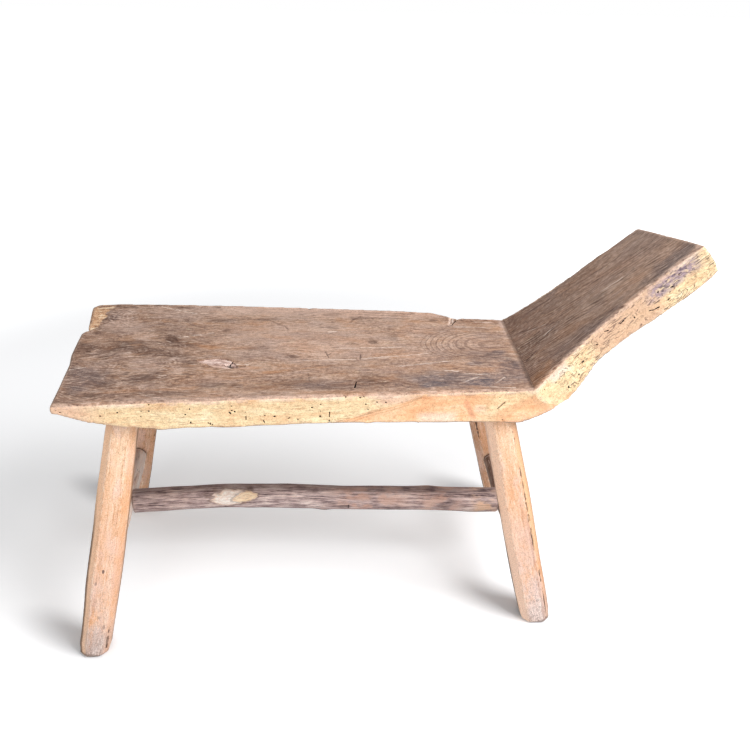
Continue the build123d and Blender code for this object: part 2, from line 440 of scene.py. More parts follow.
# start and end as along, across, deep; then width and depth
hollows = {
    "knot_heart": ((-525, -52.5, 0), (-510.5, -62.5, 0), 5.6, 9),
    "knot_seam": ((-574, -46, 0), (-524, -52, 0), 1.4, 2.2),
    "knot_spike": ((-521.5, -50, 0), (-516.5, -41, 0), 1.7, 3),
    "knot_tail": ((-511, -64, 0), (-495, -60, 0), 2.4, 4),
    "slit": ((-301.5, -121, 0), (-305.5, -143, 0), 1.3, 4),
    "cleft": ((-101, 142, 0), (-109, 106, 0), 3.2, 4),
    "cleft_end": ((-88.5, 136.5, 0), (-90, 132, 0), 3.4, 6),
    "cleft_crack": ((-90.5, 133, 0), (-105.5, 104, 0), 1.4, 5),
    "front_check": ((-61, -165, 36), (-48.5, -165, 23), 1.1, 4),
    "crease_check": ((-29, -163, 6), (-18, -163, 18), 1.1, 4),
}
cuts = {name: Cut(*(np.array(part) / 1000 for part in hollow)) for name, hollow in hollows.items()}
front_cuts = {"front_check", "crease_check"}
# the mouths of worm holes in the front side: along, deep, length of the mouth, and how it leans
worm_mouths = (
    (-785, 13, 1, 0), (-723, 23, 1, 0), (-695, 17.5, 2, 60), (-657, 17, 1, 0), (-658.5, 27, 1, 0),
    (-645, 17, 1.5, 0), (-587, 26, 1, 0), (-579, 16, 3, 90), (-579, 42, 2, 90), (-547, 45.5, 3, 90),
    (-550, 44, 1, 0), (-544, 47, 1, 0), (-514, 26, 5, 125), (-511, 21.5, 2, 0), (-511, 13, 1, 0),
    (-506, 24, 1, 0), (-489, 26, 1, 0), (-488, 37, 7, 90), (-457, 33, 1.5, 0), (-458.5, 45, 5, 115),
    (-417, 40, 3, 10), (-402, 43, 2, 160), (-378, 21, 2, 30), (-363.6, 15.6, 1.5, 0), (-364, 29, 1, 0),
    (-364.5, 39, 2.5, 90), (-349, 36, 9, 88), (-349, 48, 1.5, 90), (-321.5, 3, 2, 90),
    (-297.5, 5.5, 2, 140), (-291.5, 3, 1.5, 90), (-287.5, 18.5, 1.5, 45), (-269, 15, 1, 0),
    (-254, 16, 1, 0), (-284, 28, 1, 0), (-58.5, 13.5, 1, 0), (-50, 58, 1, 0), (-440.5, 36, 2, 10),
    (-644, 5, 1.5, 0), (64, 21, 1, 0), (76, 46, 4, 60), (43, 14, 1, 0), (270, 43.5, 12, 168),
    (262, 40, 5, 150), (212, 21.5, 8, 8), (183, 15, 7, 150), (289, 20, 3, 30), (312, 29, 4, 170),
    (335, 18, 3, 20), (233, 30, 3, 80), (296, 44, 5, 20), (120, 29, 4, 10), (157, 23, 3, 170),
    (102, 42, 2, 50),
)
for number, (at_along, at_deep, mouth, leaning) in enumerate(worm_mouths):
    angle, half = math.radians(leaning), 0.0005 * (mouth - 0.9)
    step = np.array([half * math.cos(angle), 0, -half * math.sin(angle)])
    middle = np.array([at_along / 1000, front_side, at_deep / 1000])
    cuts[f"worm_{number}"] = Cut(middle - step, middle + step, 0.0011, 0.0024)
    front_cuts.add(f"worm_{number}")


def from_cut(name, points):
    """How far points lie from a cut; a front cut is measured on a flat side, without across."""
    if name in front_cuts:
        points = points * (1, 0, 1) + (0, front_side, 0)
    return cuts[name].away_from(points)


print("cuts:", len(cuts), "of them in the front side:", len(front_cuts))

# %% [markdown]
# ## Scratches
# Scratches are lines too, but so shallow that they are mostly colour: long pale ones that sway,
# short pale and dark nicks, and faint lines. They wander, because the place of each point is
# pushed about a little before its distance to the line is taken.

# %% list the scratches
# on the top, in millimetres: start and end (along, across), and half width
pale_scratches = (
    ((-395, -40), (-300, -38), 0.9), ((-305, -38), (-160, -15), 1.1), ((-230, -67), (-105, -43), 0.9),
    ((-672, 199), (-598, 164), 1.2), ((-622, 57), (-560, 80), 1), ((-125, -134), (-88, -110), 0.8),
    ((-62, -132), (-40, -108), 0.9), ((215, -21), (262, -26), 0.9),
)
pale_nicks = (
    ((-511, -53.5), (-488, -56), 2.4), ((-98.5, 150), (-108.5, 104), 5), ((-97, 140), (-103, 118), 4),
    ((-112, -99), (-64, -100), 1.1), ((-145, -85), (-118, -88), 1.8), ((-798, -70), (-768, -58), 0.8),
    ((-60, 117), (-22, 116), 1.4), ((-346, 77), (-326, 79), 1.6), ((-90, -146), (-30, -149), 0.8),
    ((-340, 5), (-200, 12), 0.9), ((-100, 96), (-40, 93), 1.4), ((60, 26), (100, 5), 0.7),
    ((85, -26), (120, -20), 0.6),
)
dark_nicks = (
    ((-289, -18), (-290.5, -40), 1.3), ((-352, -6), (-346, -30), 1.2), ((-342, -12), (-347.5, -20), 1.2),
    ((-380, 199), (-380, 182), 1.6), ((-735, 66), (-728, 60), 2.6), ((36, -62), (64, -54), 1.6),
)
faint_lines = (
    ((-505, 141), (-455, 131), 2.6), ((-458, 132), (-425, 100), 2.4), ((-427, 103), (-420, 85), 2),
    ((-302, 116), (-292, 138), 2.6), ((-296, 134), (-278, 146), 2.6), ((-280, 142), (-190, 134), 2.4),
    ((-798, 98), (-750, 140), 1.6), ((-757, 135), (-752, 172), 1.8), ((-768, 200), (-752, 165), 1.8),
    ((-384, -85), (-382, -118), 1.2), ((-170, 156), (-280, 166), 1.6), ((-180, 147), (-300, 158), 1.4),
    ((50, 40), (125, -16), 3), ((125, -18), (60, -36), 2.6), ((-492, -56), (-474, -56.5), 1.4),
    ((110, 72), (330, 36), 1.4), ((100, 50), (340, 14), 1.4), ((60, 85), (200, 70), 1.6),
    ((180, 28), (360, 2), 1.4), ((40, 110), (180, 92), 1.4),
)


def swayed(points, size, far, seed):
    """The along and across of each point, pushed about so that straight lines wander."""
    sway = np.stack([ripple(points, size, seed), ripple(points, size, seed + 1)], -1)
    return points[:, :2] + far * sway


def on_lines(flat_at, listed, soft):
    """How strongly each point lies on the nearest of these lines, which thin out at their ends."""
    found = np.zeros(len(flat_at))
    for parts in listed:
        start, end, half = (np.array(part) / 1000 for part in parts)
        line = end - start
        share = np.clip((flat_at - start) @ line / (line @ line), 0, 1)
        away = np.linalg.norm(flat_at - start - share[:, None] * line, axis=1)
        thin = half * np.sqrt(np.clip(8 * share * (1 - share), 0.05, 1))
        found = np.maximum(found, 1 - fade(away, 0.4 * thin, thin + soft))
    return found


def all_lines(points, soft=0.0005):
    """Pale, dark and faint lines, as three numbers a point."""
    long_sway = swayed(points, 0.07, 0.0022, 14)
    quick_sway = swayed(points, 0.010, 0.0011, 16)
    found = [on_lines(long_sway, pale_scratches, soft), on_lines(quick_sway, pale_nicks, soft),
             on_lines(quick_sway, dark_nicks, soft), on_lines(quick_sway, faint_lines, soft)]
    pale_ones = np.maximum(found[0], 0.85 * found[1])
    return np.stack([pale_ones, *found[2:]], -1) * (np.abs(points[:, 2:]) < 0.006)


print("scratches:", len(pale_scratches + pale_nicks + dark_nicks + faint_lines))

# %% [markdown]
# ## A finer net where it is needed
# The even net is too coarse for cuts of a millimetre, so it is made finer only where they run:
# the faces near each line are divided three times, each time closer to the line. The first two
# times the scratches and the split knot are taken along.

# %% finer net along the cuts
def refine(piece, near):
    """Divides once the faces whose corners near() picks."""
    net = bmesh.new()
    net.from_mesh(piece.data)
    picked = near(np.array([v.co for v in net.verts]))
    edges = [e for e in net.edges if picked[e.verts[0].index] and picked[e.verts[1].index]]
    bmesh.ops.subdivide_edges(net, edges=edges, cuts=1, use_grid_fill=True)
    net.to_mesh(piece.data)
    net.free()


knot_middle, knot_box = (-0.537, -0.050, 0), (0.050, 0.026, 0.006)


def near_cuts(co, within):
    """Picks the points within this distance of a cut, and in the wide rounds of a scratch."""
    points = wood_measure(co)
    close = np.zeros(len(points), bool)
    for name, cut in cuts.items():
        on_its_side = (points[:, 1] < -0.09) | (name not in front_cuts)
        close |= (from_cut(name, points) < cut.wide + within) & on_its_side
    if within > 0.002:
        close |= all_lines(points, 0.5 * within).max(1) > 0
        close |= (np.abs(points - knot_middle) < knot_box).all(1)
    return close


for within in (0.0045, 0.003, 0.0015):
    refine(slab, lambda points: near_cuts(points, within))
co, out, pairs = net_of(slab)
wood = wood_measure(co)
print("slab corners after refining:", len(co))

# %% [markdown]
# ## Which face is which
# The top has the dark polish of use, the sides are pale sapwood, the underside is dull and the
# ends show end grain. The direction that each corner faces, turned back level on the backrest,
# tells them apart. The values blend over the worn edges, where the finishes meet.

# %% faces of the plank
along, across, deep = wood.T
lean = np.where(along > turn_run, back_tilt, np.clip(along / turn_run, 0, 1) * back_tilt)
face_up = out[:, 2] * np.cos(lean) - out[:, 0] * np.sin(lean)
face_end = out[:, 0] * np.cos(lean) + out[:, 2] * np.sin(lean)
is_top = fade(face_up, 0.35, 0.75) * (deep < 0.03)
is_under = fade(-face_up, 0.35, 0.75)
is_end = fade(np.abs(face_end), 0.70, 0.92) * (1 - is_top) * (1 - is_under)
is_front = (across < 0) * (1 - is_top) * (1 - is_under) * (1 - is_end)
print("share of top:", round(float(is_top.mean()), 3), "front:", round(float(is_front.mean()), 3))

# %% [markdown]
# ## Carving the plank
# An adze leaves shallow waves, and years of sitting round them off. The waves come from the
# ripples and push each corner along its own outward direction, less on the top than under it.
# The front side has one long clean facet near the crease where sapwood was sliced away.

# %% adze waves and the facet
waves = 0.0007 * ripple(wood, 0.09, 3) + 0.00035 * ripple(wood, 0.03, 4)
rough_waves = 0.0016 * ripple(wood * (1, 1, 2), 0.055, 5) + 0.0006 * ripple(wood, 0.02, 6)
push = waves * (0.6 + 0.4 * is_top) + rough_waves * is_under + 0.2 * rough_waves * is_end

facet_left = -0.348 + (0.052 - deep) * 3.3 + 0.006 * ripple(wood, 0.03, 7)
facet_right = 0.004 + 0.55 * (deep - 0.012)
in_facet = fade(along - facet_left, 0, 0.012) * fade(facet_right - along, -0.004, 0.008)
in_facet *= is_front * fade(deep, 0.003, 0.008)
scallop = 0.0009 * np.cos((along + 0.11) * 2 * math.pi / 0.085) * in_facet
push -= 0.0011 * in_facet + scallop
push += 0.0012 * np.clip(bulge_of(slab), 0, 1)
print("waves up to", round(1000 * float(push.max()), 1), "mm")

# %% [markdown]
# ## Where the plank is thicker or thinner
# The sawn solid is straighter than the tree. The front side swells a little beside the crease
# and shrinks under it, the underside of the backrest is fuller at its end, and the rear side
# bellies out along a curve.

# %% swellings
heel = np.exp(-((along - 0.052) / 0.026) ** 2) * fade(deep, 0.025, 0.05)
before_heel = np.exp(-((along + 0.022) / 0.030) ** 2) * fade(deep, 0.03, 0.05)
back_end = fade(along, 0.30, 0.34) * is_under
rear_side = (across > 0) * (1 - is_top) * (1 - is_under) * fade(along, -0.56, -0.40)
rear_belly = np.interp(along, (-0.30, 0.00, 0.05, 0.12, 0.18, 0.245, 0.275, 0.31),
                       (0.0012, 0.0022, 0.0042, 0.0058, 0.0050, 0.0052, 0.0020, -0.0010))
push += 0.0026 * before_heel - 0.0040 * heel + 0.0016 * back_end
push += rear_side * rear_belly
print("rear side bellies out", round(1000 * float(rear_belly.max()), 1), "mm")

# %% [markdown]
# ## What sinks into the top
# The rear corner of the free end is pared down, the split knot is a shallow dish with a ragged
# edge, and the cuts go in last. Front cuts push inwards, all others sink straight down.

# %% the pared corner, the split knot and the cuts
corner_line = -0.770 - 0.20 * (0.15 - across) + 0.004 * ripple(wood, 0.02, 8)
pared = np.clip(corner_line - along, 0, 0.04) * fade(across, 0.094, 0.104)
sink = 0.07 * pared * is_top

knot_left, knot_slope = -0.581, 0.245
knot_line = -0.040 - knot_slope * (along - knot_left)
knot_far = np.interp(along, (knot_left, -0.570, -0.561, -0.540, -0.520, -0.5135, -0.509),
                     (0, 0.0065, 0.0127, 0.0188, 0.0172, 0.008, 0))
knot_near = np.interp(along, (knot_left, -0.5657, -0.548, -0.5265, -0.509, -0.505),
                      (0, 0.0044, 0.0145, 0.0150, 0.0085, 0))
knot_half = np.where(across > knot_line, knot_far, knot_near)
knot_off = (across - knot_line) / np.maximum(knot_half, 0.0008) + 0.16 * ripple(wood, 0.008, 10)
in_knot = (1 - fade(np.abs(knot_off), 0.85, 1.15)) * fade(knot_half, 0.0003, 0.002)
sink = sink + 0.0022 * in_knot * is_top

cut_dark = np.zeros(len(co))
for name, cut in cuts.items():
    on_front = name in front_cuts
    away = from_cut(name, wood) + 0.0006 * ripple(wood, 0.004, 9)
    inside = 1 - fade(away, 0.25 * cut.wide, cut.wide + 0.0006)
    inside = inside * ((across < -0.085) | (not on_front))
    inside = inside * (is_front > 0.2 if on_front else is_top > 0.2)
    if name == "cleft":
        in_cleft = inside
    else:
        cut_dark = np.maximum(cut_dark, inside * min(1.0, cut.deep / 0.0024))
    if on_front:
        push = push - cut.deep * inside
    else:
        sink = sink + cut.deep * inside
scratched = all_lines(wood) * is_top[:, None]
sink = sink + scratched @ (0.0002, 0.0004, 0.0003)
print("deepest carving, mm:", round(1000 * float(sink.max()), 1))

# %% [markdown]
# ## Moving the corners
# Everything so far was only summed up. Now the corners move, and the two ends get their last
# shape: the free end is skewed, the front corner of the backrest's end is knocked back and
# rounded, and the lowest tip of that end is drawn in.

# %% move the corners and shape the ends
down_dir = np.stack([np.sin(lean), np.zeros(len(co)), -np.cos(lean)], -1)
up_dir = np.stack([np.cos(lean), np.zeros(len(co)), np.sin(lean)], -1)
co = co + out * push[:, None] + down_dir * sink[:, None]
free_end = fade(-along, 0.77, 0.80) * fade(across, -0.05, 0.0) * fade(0.088 - across, 0, 0.012)
co[:, 0] -= 0.0048 * free_end
corner_turn = np.interp(across, (0.088, 0.094, 0.105, 0.135, 0.185, 0.205),
                        (0, 0.003, 0.003, 0.0, -0.0055, -0.007))
co[:, 0] += corner_turn * fade(-along, 0.755, 0.785)
knocked = fade(along, 0.305, 0.345) * fade(-across, 0.04, 0.12)
low_corner = fade(deep, 0.030, 0.058)
co -= up_dir * (knocked * (0.0022 + 0.0026 * low_corner))[:, None]
end_reach = float(along[across < -0.10].max())
low_tip = fade(deep, 0.042, 0.060) * fade(along, end_reach - 0.020, end_reach - 0.002)
low_tip = low_tip * fade(-across, 0, 0.08)
co -= (up_dir + down_dir) * (0.0032 * low_tip)[:, None]
move_corners(slab, co)
print("backrest reaches", round(end_reach, 4), "m along the wood")

# %% [markdown]
# ## Worn edges
# Where a surface bulges, hands and feet have rubbed it pale, and where it is hollow, dirt has
# stayed. The bulge of each corner is how far it stands out from a smoothed copy of the surface.

# %% bulge of every corner
worn_edge = bulge_of(slab)
print("bulge from", round(float(worn_edge.min()), 2), "to", round(float(worn_edge.max()), 2))

# %% [markdown]
# ## Where the top is stained
# The polish of the top is not even: there are dark smudges and streaks, warm patches where the
# wood shows through, pale rubbed places and blue-grey stains near the crease. Each is an oval in
# the wood's measure, with an edge broken up by ripples, and all ovals of one kind are kept
# together as one number a corner.

# %% ovals of stain
# along, across, half length, half width (all mm), turn in degrees, strength
dark_ovals = (
    (-735, 12, 80, 18, 3, 0.75), (-705, 38, 34, 12, 8, 0.8), (-636, 52, 15, 21, 10, 1),
    (-680, 4, 55, 16, -6, 0.7), (-630, -14, 36, 12, -14, 0.7), (-590, -44, 16, 10, -10, 0.6),
    (-615, 30, 35, 16, -15, 0.6), (-664, -100, 40, 20, 12, 0.65), (-722, -122, 24, 14, 12, 0.75),
    (-503, -131, 14, 9, 0, 0.85), (-545, -130, 26, 12, 10, 0.5), (-415, -122, 60, 18, 4, 0.6),
    (-411, -25, 14, 8, 0, 0.9), (-262, 32, 10, 9, 0, 0.9), (-535, 85, 9, 10, 20, 0.7),
    (-555, 133, 24, 10, 0, 0.6), (-490, 136, 60, 6, 0, 0.45), (-285, 139, 22, 9, 0, 0.65),
    (-337, 94, 14, 10, -20, 0.5), (-335, 156, 22, 10, 0, 0.5), (-655, -158, 120, 10, 3, 0.55),
    (-270, -122, 40, 26, 0, 0.6), (-765, 205, 36, 8, -8, 0.6), (-766, 150, 8, 30, 0, 0.35),
    (-755, -10, 45, 20, 0, 0.5), (-450, -158, 30, 7, 0, 0.4), (-795, -20, 12, 90, 0, 0.45),
    (-350, -140, 200, 14, 0, 0.45), (75, -22, 50, 28, 0, 0.45), (205, -40, 18, 14, 0, 0.6),
    (45, -125, 30, 30, 40, 0.25), (40, -40, 18, 55, 0, 0.45), (290, 0, 80, 50, 10, 0.2),
    (45, 90, 30, 30, 0, 0.45), (-65, 122, 30, 12, 0, 0.5), (-18, -60, 10, 24, 0, 0.8),
    (-140, 128, 8, 6, 0, 0.7), (-125, -78, 7, 5, 0, 0.7), (-225, 56, 12, 16, 30, 0.4),
    (-100, 0, 6, 5, 0, 0.8),
)
warm_ovals = (
    (-787, 150, 12, 50, 0, 0.8), (-566, 18, 36, 6, -16, 0.95), (-600, 34, 22, 5, -8, 0.8),
    (-548, -12, 16, 10, -5, 0.4), (-492, -68, 22, 7, 5, 0.9), (-452, -84, 18, 6, 0, 0.95),
    (-745, 18, 24, 10, 0, 0.6), (-50, 119, 42, 10, -3, 0.6), (-690, -148, 40, 6, 4, 0.85),
    (-610, -141, 45, 7, 6, 0.75), (-250, 158, 160, 14, -4, 0.5), (50, -138, 36, 30, 35, 1.2),
    (-480, 100, 90, 30, 0, 0.25), (-360, 20, 110, 50, 0, 0.28), (-730, 64, 60, 10, 0, 0.35),
    (-560, -100, 70, 20, 10, 0.35), (-200, -75, 60, 16, 0, 0.3), (-340, -160, 60, 8, 0, 0.5),
)
pale_ovals = (
    (-742, 125, 34, 32, 40, 0.75), (-715, 98, 40, 30, 0, 0.6), (-645, 165, 60, 24, -15, 0.55),
    (-735, 175, 30, 20, 40, 0.65), (-665, -55, 36, 26, -10, 0.6), (-612, -75, 14, 20, 0, 0.55),
    (-760, -62, 30, 10, 10, 0.5), (-400, 60, 170, 70, 0, 0.5), (-340, -5, 120, 45, 0, 0.45),
    (-150, 70, 60, 50, 0, 0.35), (-350, 170, 260, 26, -4, 0.9), (-550, 170, 120, 24, 0, 0.45),
    (-6, 106, 7, 18, 0, 1), (-622, -27, 12, 5, 62, 1), (-185, -20, 50, 30, 0, 0.4),
    (-335, 78, 9, 3, 0, 0.9), (-100, 22, 60, 45, 0, 0.3), (-496, -68, 16, 5, 4, 0.7),
    (255, 20, 100, 50, 0, 0.3), (-220, 110, 70, 12, 0, 0.3), (-145, -10, 30, 25, 0, 0.4),
    (-330, -174, 500, 8, 0, 0.5),
)
blue_ovals = (
    (-85, -58, 20, 12, 20, 0.75), (-35, -18, 18, 12, 0, 0.8), (-56, -28, 14, 9, 0, 0.7),
    (-88, -127, 36, 19, 0, 1.15), (-165, -135, 36, 16, 6, 1), (-120, -118, 120, 34, 0, 0.75),
    (-22, -85, 30, 45, 10, 0.75), (-50, -45, 45, 35, 0, 0.45), (-765, -100, 44, 55, 0, 0.65),
    (-664, -100, 30, 14, 12, 0.2), (-757, 150, 10, 28, 0, 0.3), (-340, -130, 70, 16, 0, 0.4),
    (-470, 8, 30, 14, 0, 0.3), (335, -80, 60, 30, 10, 0.8), (150, -115, 80, 30, 5, 0.55),
    (330, 30, 60, 50, 0, 0.25), (135, 86, 14, 16, 0, 0.6), (330, 85, 60, 20, 0, 0.4),
)


def stained(points, ovals, seed):
    """The strength of the strongest of these ovals at each point."""
    blur = np.stack([ripple(points, 0.016, seed + i) + 0.5 * ripple(points, 0.006, seed + 5 + i)
                     for i in range(2)], -1)
    found = np.zeros(len(points))
    for *oval, degrees, strength in ovals:
        along_at, across_at, half_long, half_wide = np.array(oval) / 1000
        angle = math.radians(degrees)
        x, y = points[:, 0] - along_at, points[:, 1] - across_at
        local = np.stack([x * math.cos(angle) + y * math.sin(angle),
                          y * math.cos(angle) - x * math.sin(angle)], -1)
        away = np.hypot(*(local / (half_long, half_wide) + 0.3 * blur).T)
        found = np.maximum(found, strength * (1 - fade(away, 0.45, 1.30)))
    return found


# a dark band along the crease, partly dirt and partly painted shade
crease_dirt_and_shade = (1 - fade(np.abs(along - 0.5 * turn_run) - 0.5 * turn_run, 0.001, 0.006)) * is_top
dark = np.maximum(stained(wood, dark_ovals, 20), 0.35 * crease_dirt_and_shade)
warm = stained(wood, warm_ovals, 40)
pale = np.maximum(stained(wood, pale_ovals, 60), np.maximum(in_knot, 1.3 * in_cleft) * is_top)
blue = stained(wood, blue_ovals, 80)
print("ovals:", len(dark_ovals + warm_ovals + pale_ovals + blue_ovals))

# %% [markdown]
# ## How the grain flows
# Straight grain would look printed. The flow is the wood's measure once more, but bent: it
# wavers along the plank, swings aside on the backrest, flows round the eyes of small knots, and
# curls up in a few places where the grain runs in rings.

# %% flow of the grain
flow = wood.copy()
wide_waver = 0.011 * ripple(wood * (0.45, 1, 1), 0.060, 120)
flow[:, 1] += wide_waver + 0.0035 * ripple(wood * (0.5, 1, 1), 0.022, 121)
flow[:, 2] += 0.005 * ripple(wood * (0.5, 1, 1), 0.045, 122)
flow[:, 1] += 0.125 * np.clip(along - 0.03, 0, None)
flow[:, 1] += 0.012 * fade(-along, 0.55, 0.75) * ripple(wood * (0.8, 1, 1), 0.045, 123)

# eyes that the grain flows round: along, across, size (all mm) and strength
eyes = (
    (-545, -52, 24, 0.8), (-636, 46, 26, 0.8), (-757, 156, 36, 0.9), (-662, -100, 30, 0.5),
    (-411, -25, 18, 0.6), (-262, 32, 16, 0.6), (-505, -130, 18, 0.5), (205, -40, 24, 0.6),
    (-700, -20, 40, 0.4),
)
for *eye, strength in eyes:
    along_at, across_at, size = np.array(eye) / 1000
    x, y = along - along_at, across - across_at
    pull = np.exp(-((x / (1.7 * size)) ** 2 + (y / size) ** 2))
    flow[:, 1] -= strength * y * pull
    flow[:, 0] += 0.5 * strength * np.abs(y) * pull

# curls: along, across, inner and outer radius (all mm), the way they open, and strength
curls = (
    (-690, 155, 34, 92, (-0.9, -0.4), 1), (-660, -45, 16, 62, (0.7, -0.7), 0.9),
    (-630, 18, 8, 30, (0, 0), 0.9), (-750, -60, 15, 50, (0.3, 0.9), 0.6),
    (30, -20, 20, 85, (0.9, 0.1), 0.7),
)
from_curl, in_curl = np.zeros(len(co)), np.zeros(len(co))
for *curl, opening, strength in curls:
    along_at, across_at, inner, outer = np.array(curl) / 1000
    x, y = along - along_at, 1.3 * (across - across_at)
    away = np.hypot(x, y) + 0.005 * ripple(wood, 0.035, 130)
    if any(opening):
        opened = (x * opening[0] + y * opening[1]) / np.maximum(away, 0.001)
        strength = strength * fade(opened, 0.0, 0.5)
    zone = strength * fade(away, 0.6 * inner, inner) * (1 - fade(away, 0.75 * outer, outer))
    from_curl = np.where(zone > in_curl, away, from_curl)
    in_curl = np.maximum(in_curl, zone)
print("eyes:", len(eyes), "curls:", len(curls))

# %% [markdown]
# ## What the mesh tells the finish
# A finish cannot look up a list, so everything that was worked out per corner is kept on the
# mesh, three numbers at a time, and the finish reads it back by name.

# %% keep the marks on the mesh
pared_mark = fade(pared, 0.0, 0.014) * (1 - 0.6 * fade(across, 0.180, 0.200))
keep(slab, "curls", from_curl, in_curl, 0 * along)
keep(slab, "wood", *wood.T)
keep(slab, "flow", *flow.T)
keep(slab, "lines", *scratched.T)
keep(slab, "faces", is_top, is_under, is_end)
keep(slab, "marks", dark, warm, pale)
keep(slab, "stains", blue, in_knot * is_top, pared_mark)
keep(slab, "wear", worn_edge, cut_dark, in_facet)
print("kept on the plank:", [a.name for a in slab.data.attributes if a.data_type == "FLOAT_VECTOR"])

# %% [markdown]
# ## The finish of the plank
# Four woods meet on one piece: a brown top, yellow sapwood on the sides, a smooth salmon facet,
# and a dull underside with end grain at its ends. They share the same noises, so the streaks of
# one run on into the next. Most noises follow the flow, stretched long and thin like fibres.

# %% what the finish reads, and its noises
plank = Finish(bpy.data.materials.new("worn_plank"))
# s, y and d are the wood's measure: along, across and deep
wood_at, (s, y, d) = plank.attribute("wood")
flow_at, _ = plank.attribute("flow")
_, (top_share, under_share, end_share) = plank.attribute("faces")
_, (dark_at, warm_at, pale_at) = plank.attribute("marks")
_, (blue_at, knot_at, pared_at) = plank.attribute("stains")
_, (edge_at, cut_at, facet_at) = plank.attribute("wear")
_, (pale_line_at, dark_line_at, faint_line_at) = plank.attribute("lines")
side_share = (1 - top_share) * (1 - under_share)

# the flow of the grain wavers a little more than the mesh can say
waver = plank.noise(flow_at, (16, 30, 30), 3, 0.6, out="Color")
flow_at = plank.stretch(waver, (0.012, 0.008, 0.008), flow_at)
cloud = plank.noise(flow_at, (7, 17, 12), 3, 0.55)
streak = plank.noise(flow_at, (6, 62, 40), 4, 0.6)
grain = plank.noise(flow_at, (36, 220, 150), 3, 0.7)
mottle = plank.noise(wood_at, (130, 170, 150), 4, 0.85, shift=(6, 2, 8))
fibre = plank.noise(flow_at, (75, 560, 420), 2, 0.6)
smoke = plank.noise(wood_at, (17, 34, 30), 4, 0.62, 1.3, shift=(7, 7, 2))
hue = plank.noise(flow_at, (12, 30, 24), 4, 0.7, shift=(4, 2, 7))
grit = plank.noise(wood_at, (420, 560, 520), 2, 0.8)
break_up = plank.noise(flow_at, (55, 260, 160), 3, 0.7, shift=(1, 5, 3))
strokes = plank.noise(flow_at, (26, 150, 110), 3, 0.65, shift=(8, 1, 4))
on_back = s.rise(0.0, 0.02)
left_part = s.rise(-0.50, -0.66)

plank.tell("noises")

# %% [markdown]
# ## Yearly rings
# Where the trunk bends, the flat top cuts through its yearly rings, and they show as ovals round
# an eye near the crease. A ring is a set distance from the trunk's own middle line, which dips
# away on both sides of the eye, so the rings get closer together as they widen. Everywhere else
# thin lines follow the flow.

# %% rings and lines of growth
eye_along, eye_across, eye_stretch, ring_crowding = -0.040, 0.018, 1.62, 1180
from_eye = (s - eye_along) / eye_stretch
sideways = y - eye_across
eye_away = (from_eye * from_eye + sideways * sideways).root()
eye_away = eye_away + (cloud - 0.5) * 0.007 + (strokes - 0.5) * 0.004
ring_count = eye_away * eye_away * ring_crowding
ring_line = ring_count.wave(1).rise(0.35, 0.95).most(ring_count.wave(2).rise(0.55, 1.0) * 0.55)
ring_zone = eye_away.rise(0.078, 0.094, 1, 0) * s.rise(-0.012, -0.05)
ring_zone = ring_zone * y.rise(-0.056, -0.030) * strokes.rise(0.34, 0.52, 0.45, 1.0)

figure = plank.noise(flow_at, (2.2, 14, 12), 2, 0.45, shift=(3, 1, 9))
figure_wave = figure.wave(30)
figure_line = figure_wave.rise(0.35, 1.0) * strokes.rise(0.40, 0.58) * (1 - ring_zone)
figure_pale = figure_wave.rise(-0.5, -1.0) * mottle.rise(0.46, 0.60) * (1 - ring_zone)
plank.tell("rings")

# %% [markdown]
# ## The brown top
# One tone mixes all the fibres and turns into brown. Thin coats go over it: warmer and greyer
# hues, a darker, smoky free end, the backrest, a paler rear strip, the ovals of stain, and then
# the lines of growth.

# %% brown top
tone = cloud * 0.20 + streak * 0.17 + grain * 0.20 + mottle * 0.29 + fibre * 0.14
top = tone.ramp((0.39, (114, 82, 66)), (0.445, (152, 117, 97)), (0.50, (184, 149, 127)),
                (0.555, (206, 173, 151)), (0.62, (228, 199, 179)))
top.coat(hue.rise(0.50, 0.64) * 0.50, (194, 142, 104))
top.coat(hue.rise(0.50, 0.37) * 0.34, (158, 138, 134))
top.coat(left_part * (0.06 + strokes * 0.45), (120, 88, 72))
smoky = left_part.rise(0, 1, 0.28, 0.72)
top.coat(smoke.rise(0.52, 0.66) * smoky, (112, 80, 66))
top.coat(smoke.rise(0.46, 0.34) * smoky * 0.8, (216, 186, 170))
top.coat(on_back * s.rise(0.05, 0.36, 0.46, 0.10), (118, 92, 80))
top.coat(on_back * s.rise(0.20, 0.33) * 0.28, (216, 186, 166))
top.coat(on_back * s.rise(0.14, 0.02) * (0.08 + strokes * 0.22), (150, 96, 70))
rear_strip = y.rise(0.110, 0.150) * s.band(-0.40, 0.14, 0.10)
top.coat(rear_strip * 0.18, (236, 208, 190))
top.coat(warm_at * (0.2 + strokes * 0.85), (186, 132, 92))
top.coat(pale_at * (0.15 + strokes * 0.75), (220, 190, 176))
top.coat(dark_at * (0.2 + strokes * 1.2), (88, 60, 48))
top.coat(blue_at * (0.05 + break_up * 1.1 + strokes * 0.4), (98, 90, 96))
top.coat(figure_line * (left_part + on_back).rise(0, 1, 0.24, 0.50), (92, 66, 54))
top.coat(figure_pale * (left_part + on_back).rise(0, 1, 0.20, 0.36), (228, 200, 184))
top.coat(ring_line * ring_zone * 0.55, (104, 76, 66))

plank.tell("brown top")

# %% [markdown]
# ## Finer marks on the top
# Curls show rings of their own, and the backrest's face shows the edges of many rings as
# wavering lines. Then come the dark hair lines of open pores, pale ones where the surface is
# scuffed, light caught in the crease, and the scratches.

# %% curls, pores and scratches
_, (curl_away, curl_zone, _) = plank.attribute("curls")
curl_wave = (curl_away + (cloud - 0.5) * 0.040 + (strokes - 0.5) * 0.014).wave(120)
curl_zone = curl_zone * break_up.rise(0.42, 0.60, 0.10, 1.0)
top.coat(curl_wave.rise(0.30, 1.0) * curl_zone * 0.50, (100, 74, 64))
top.coat(curl_wave.rise(-0.30, -1.0) * curl_zone * 0.50, (224, 198, 184))

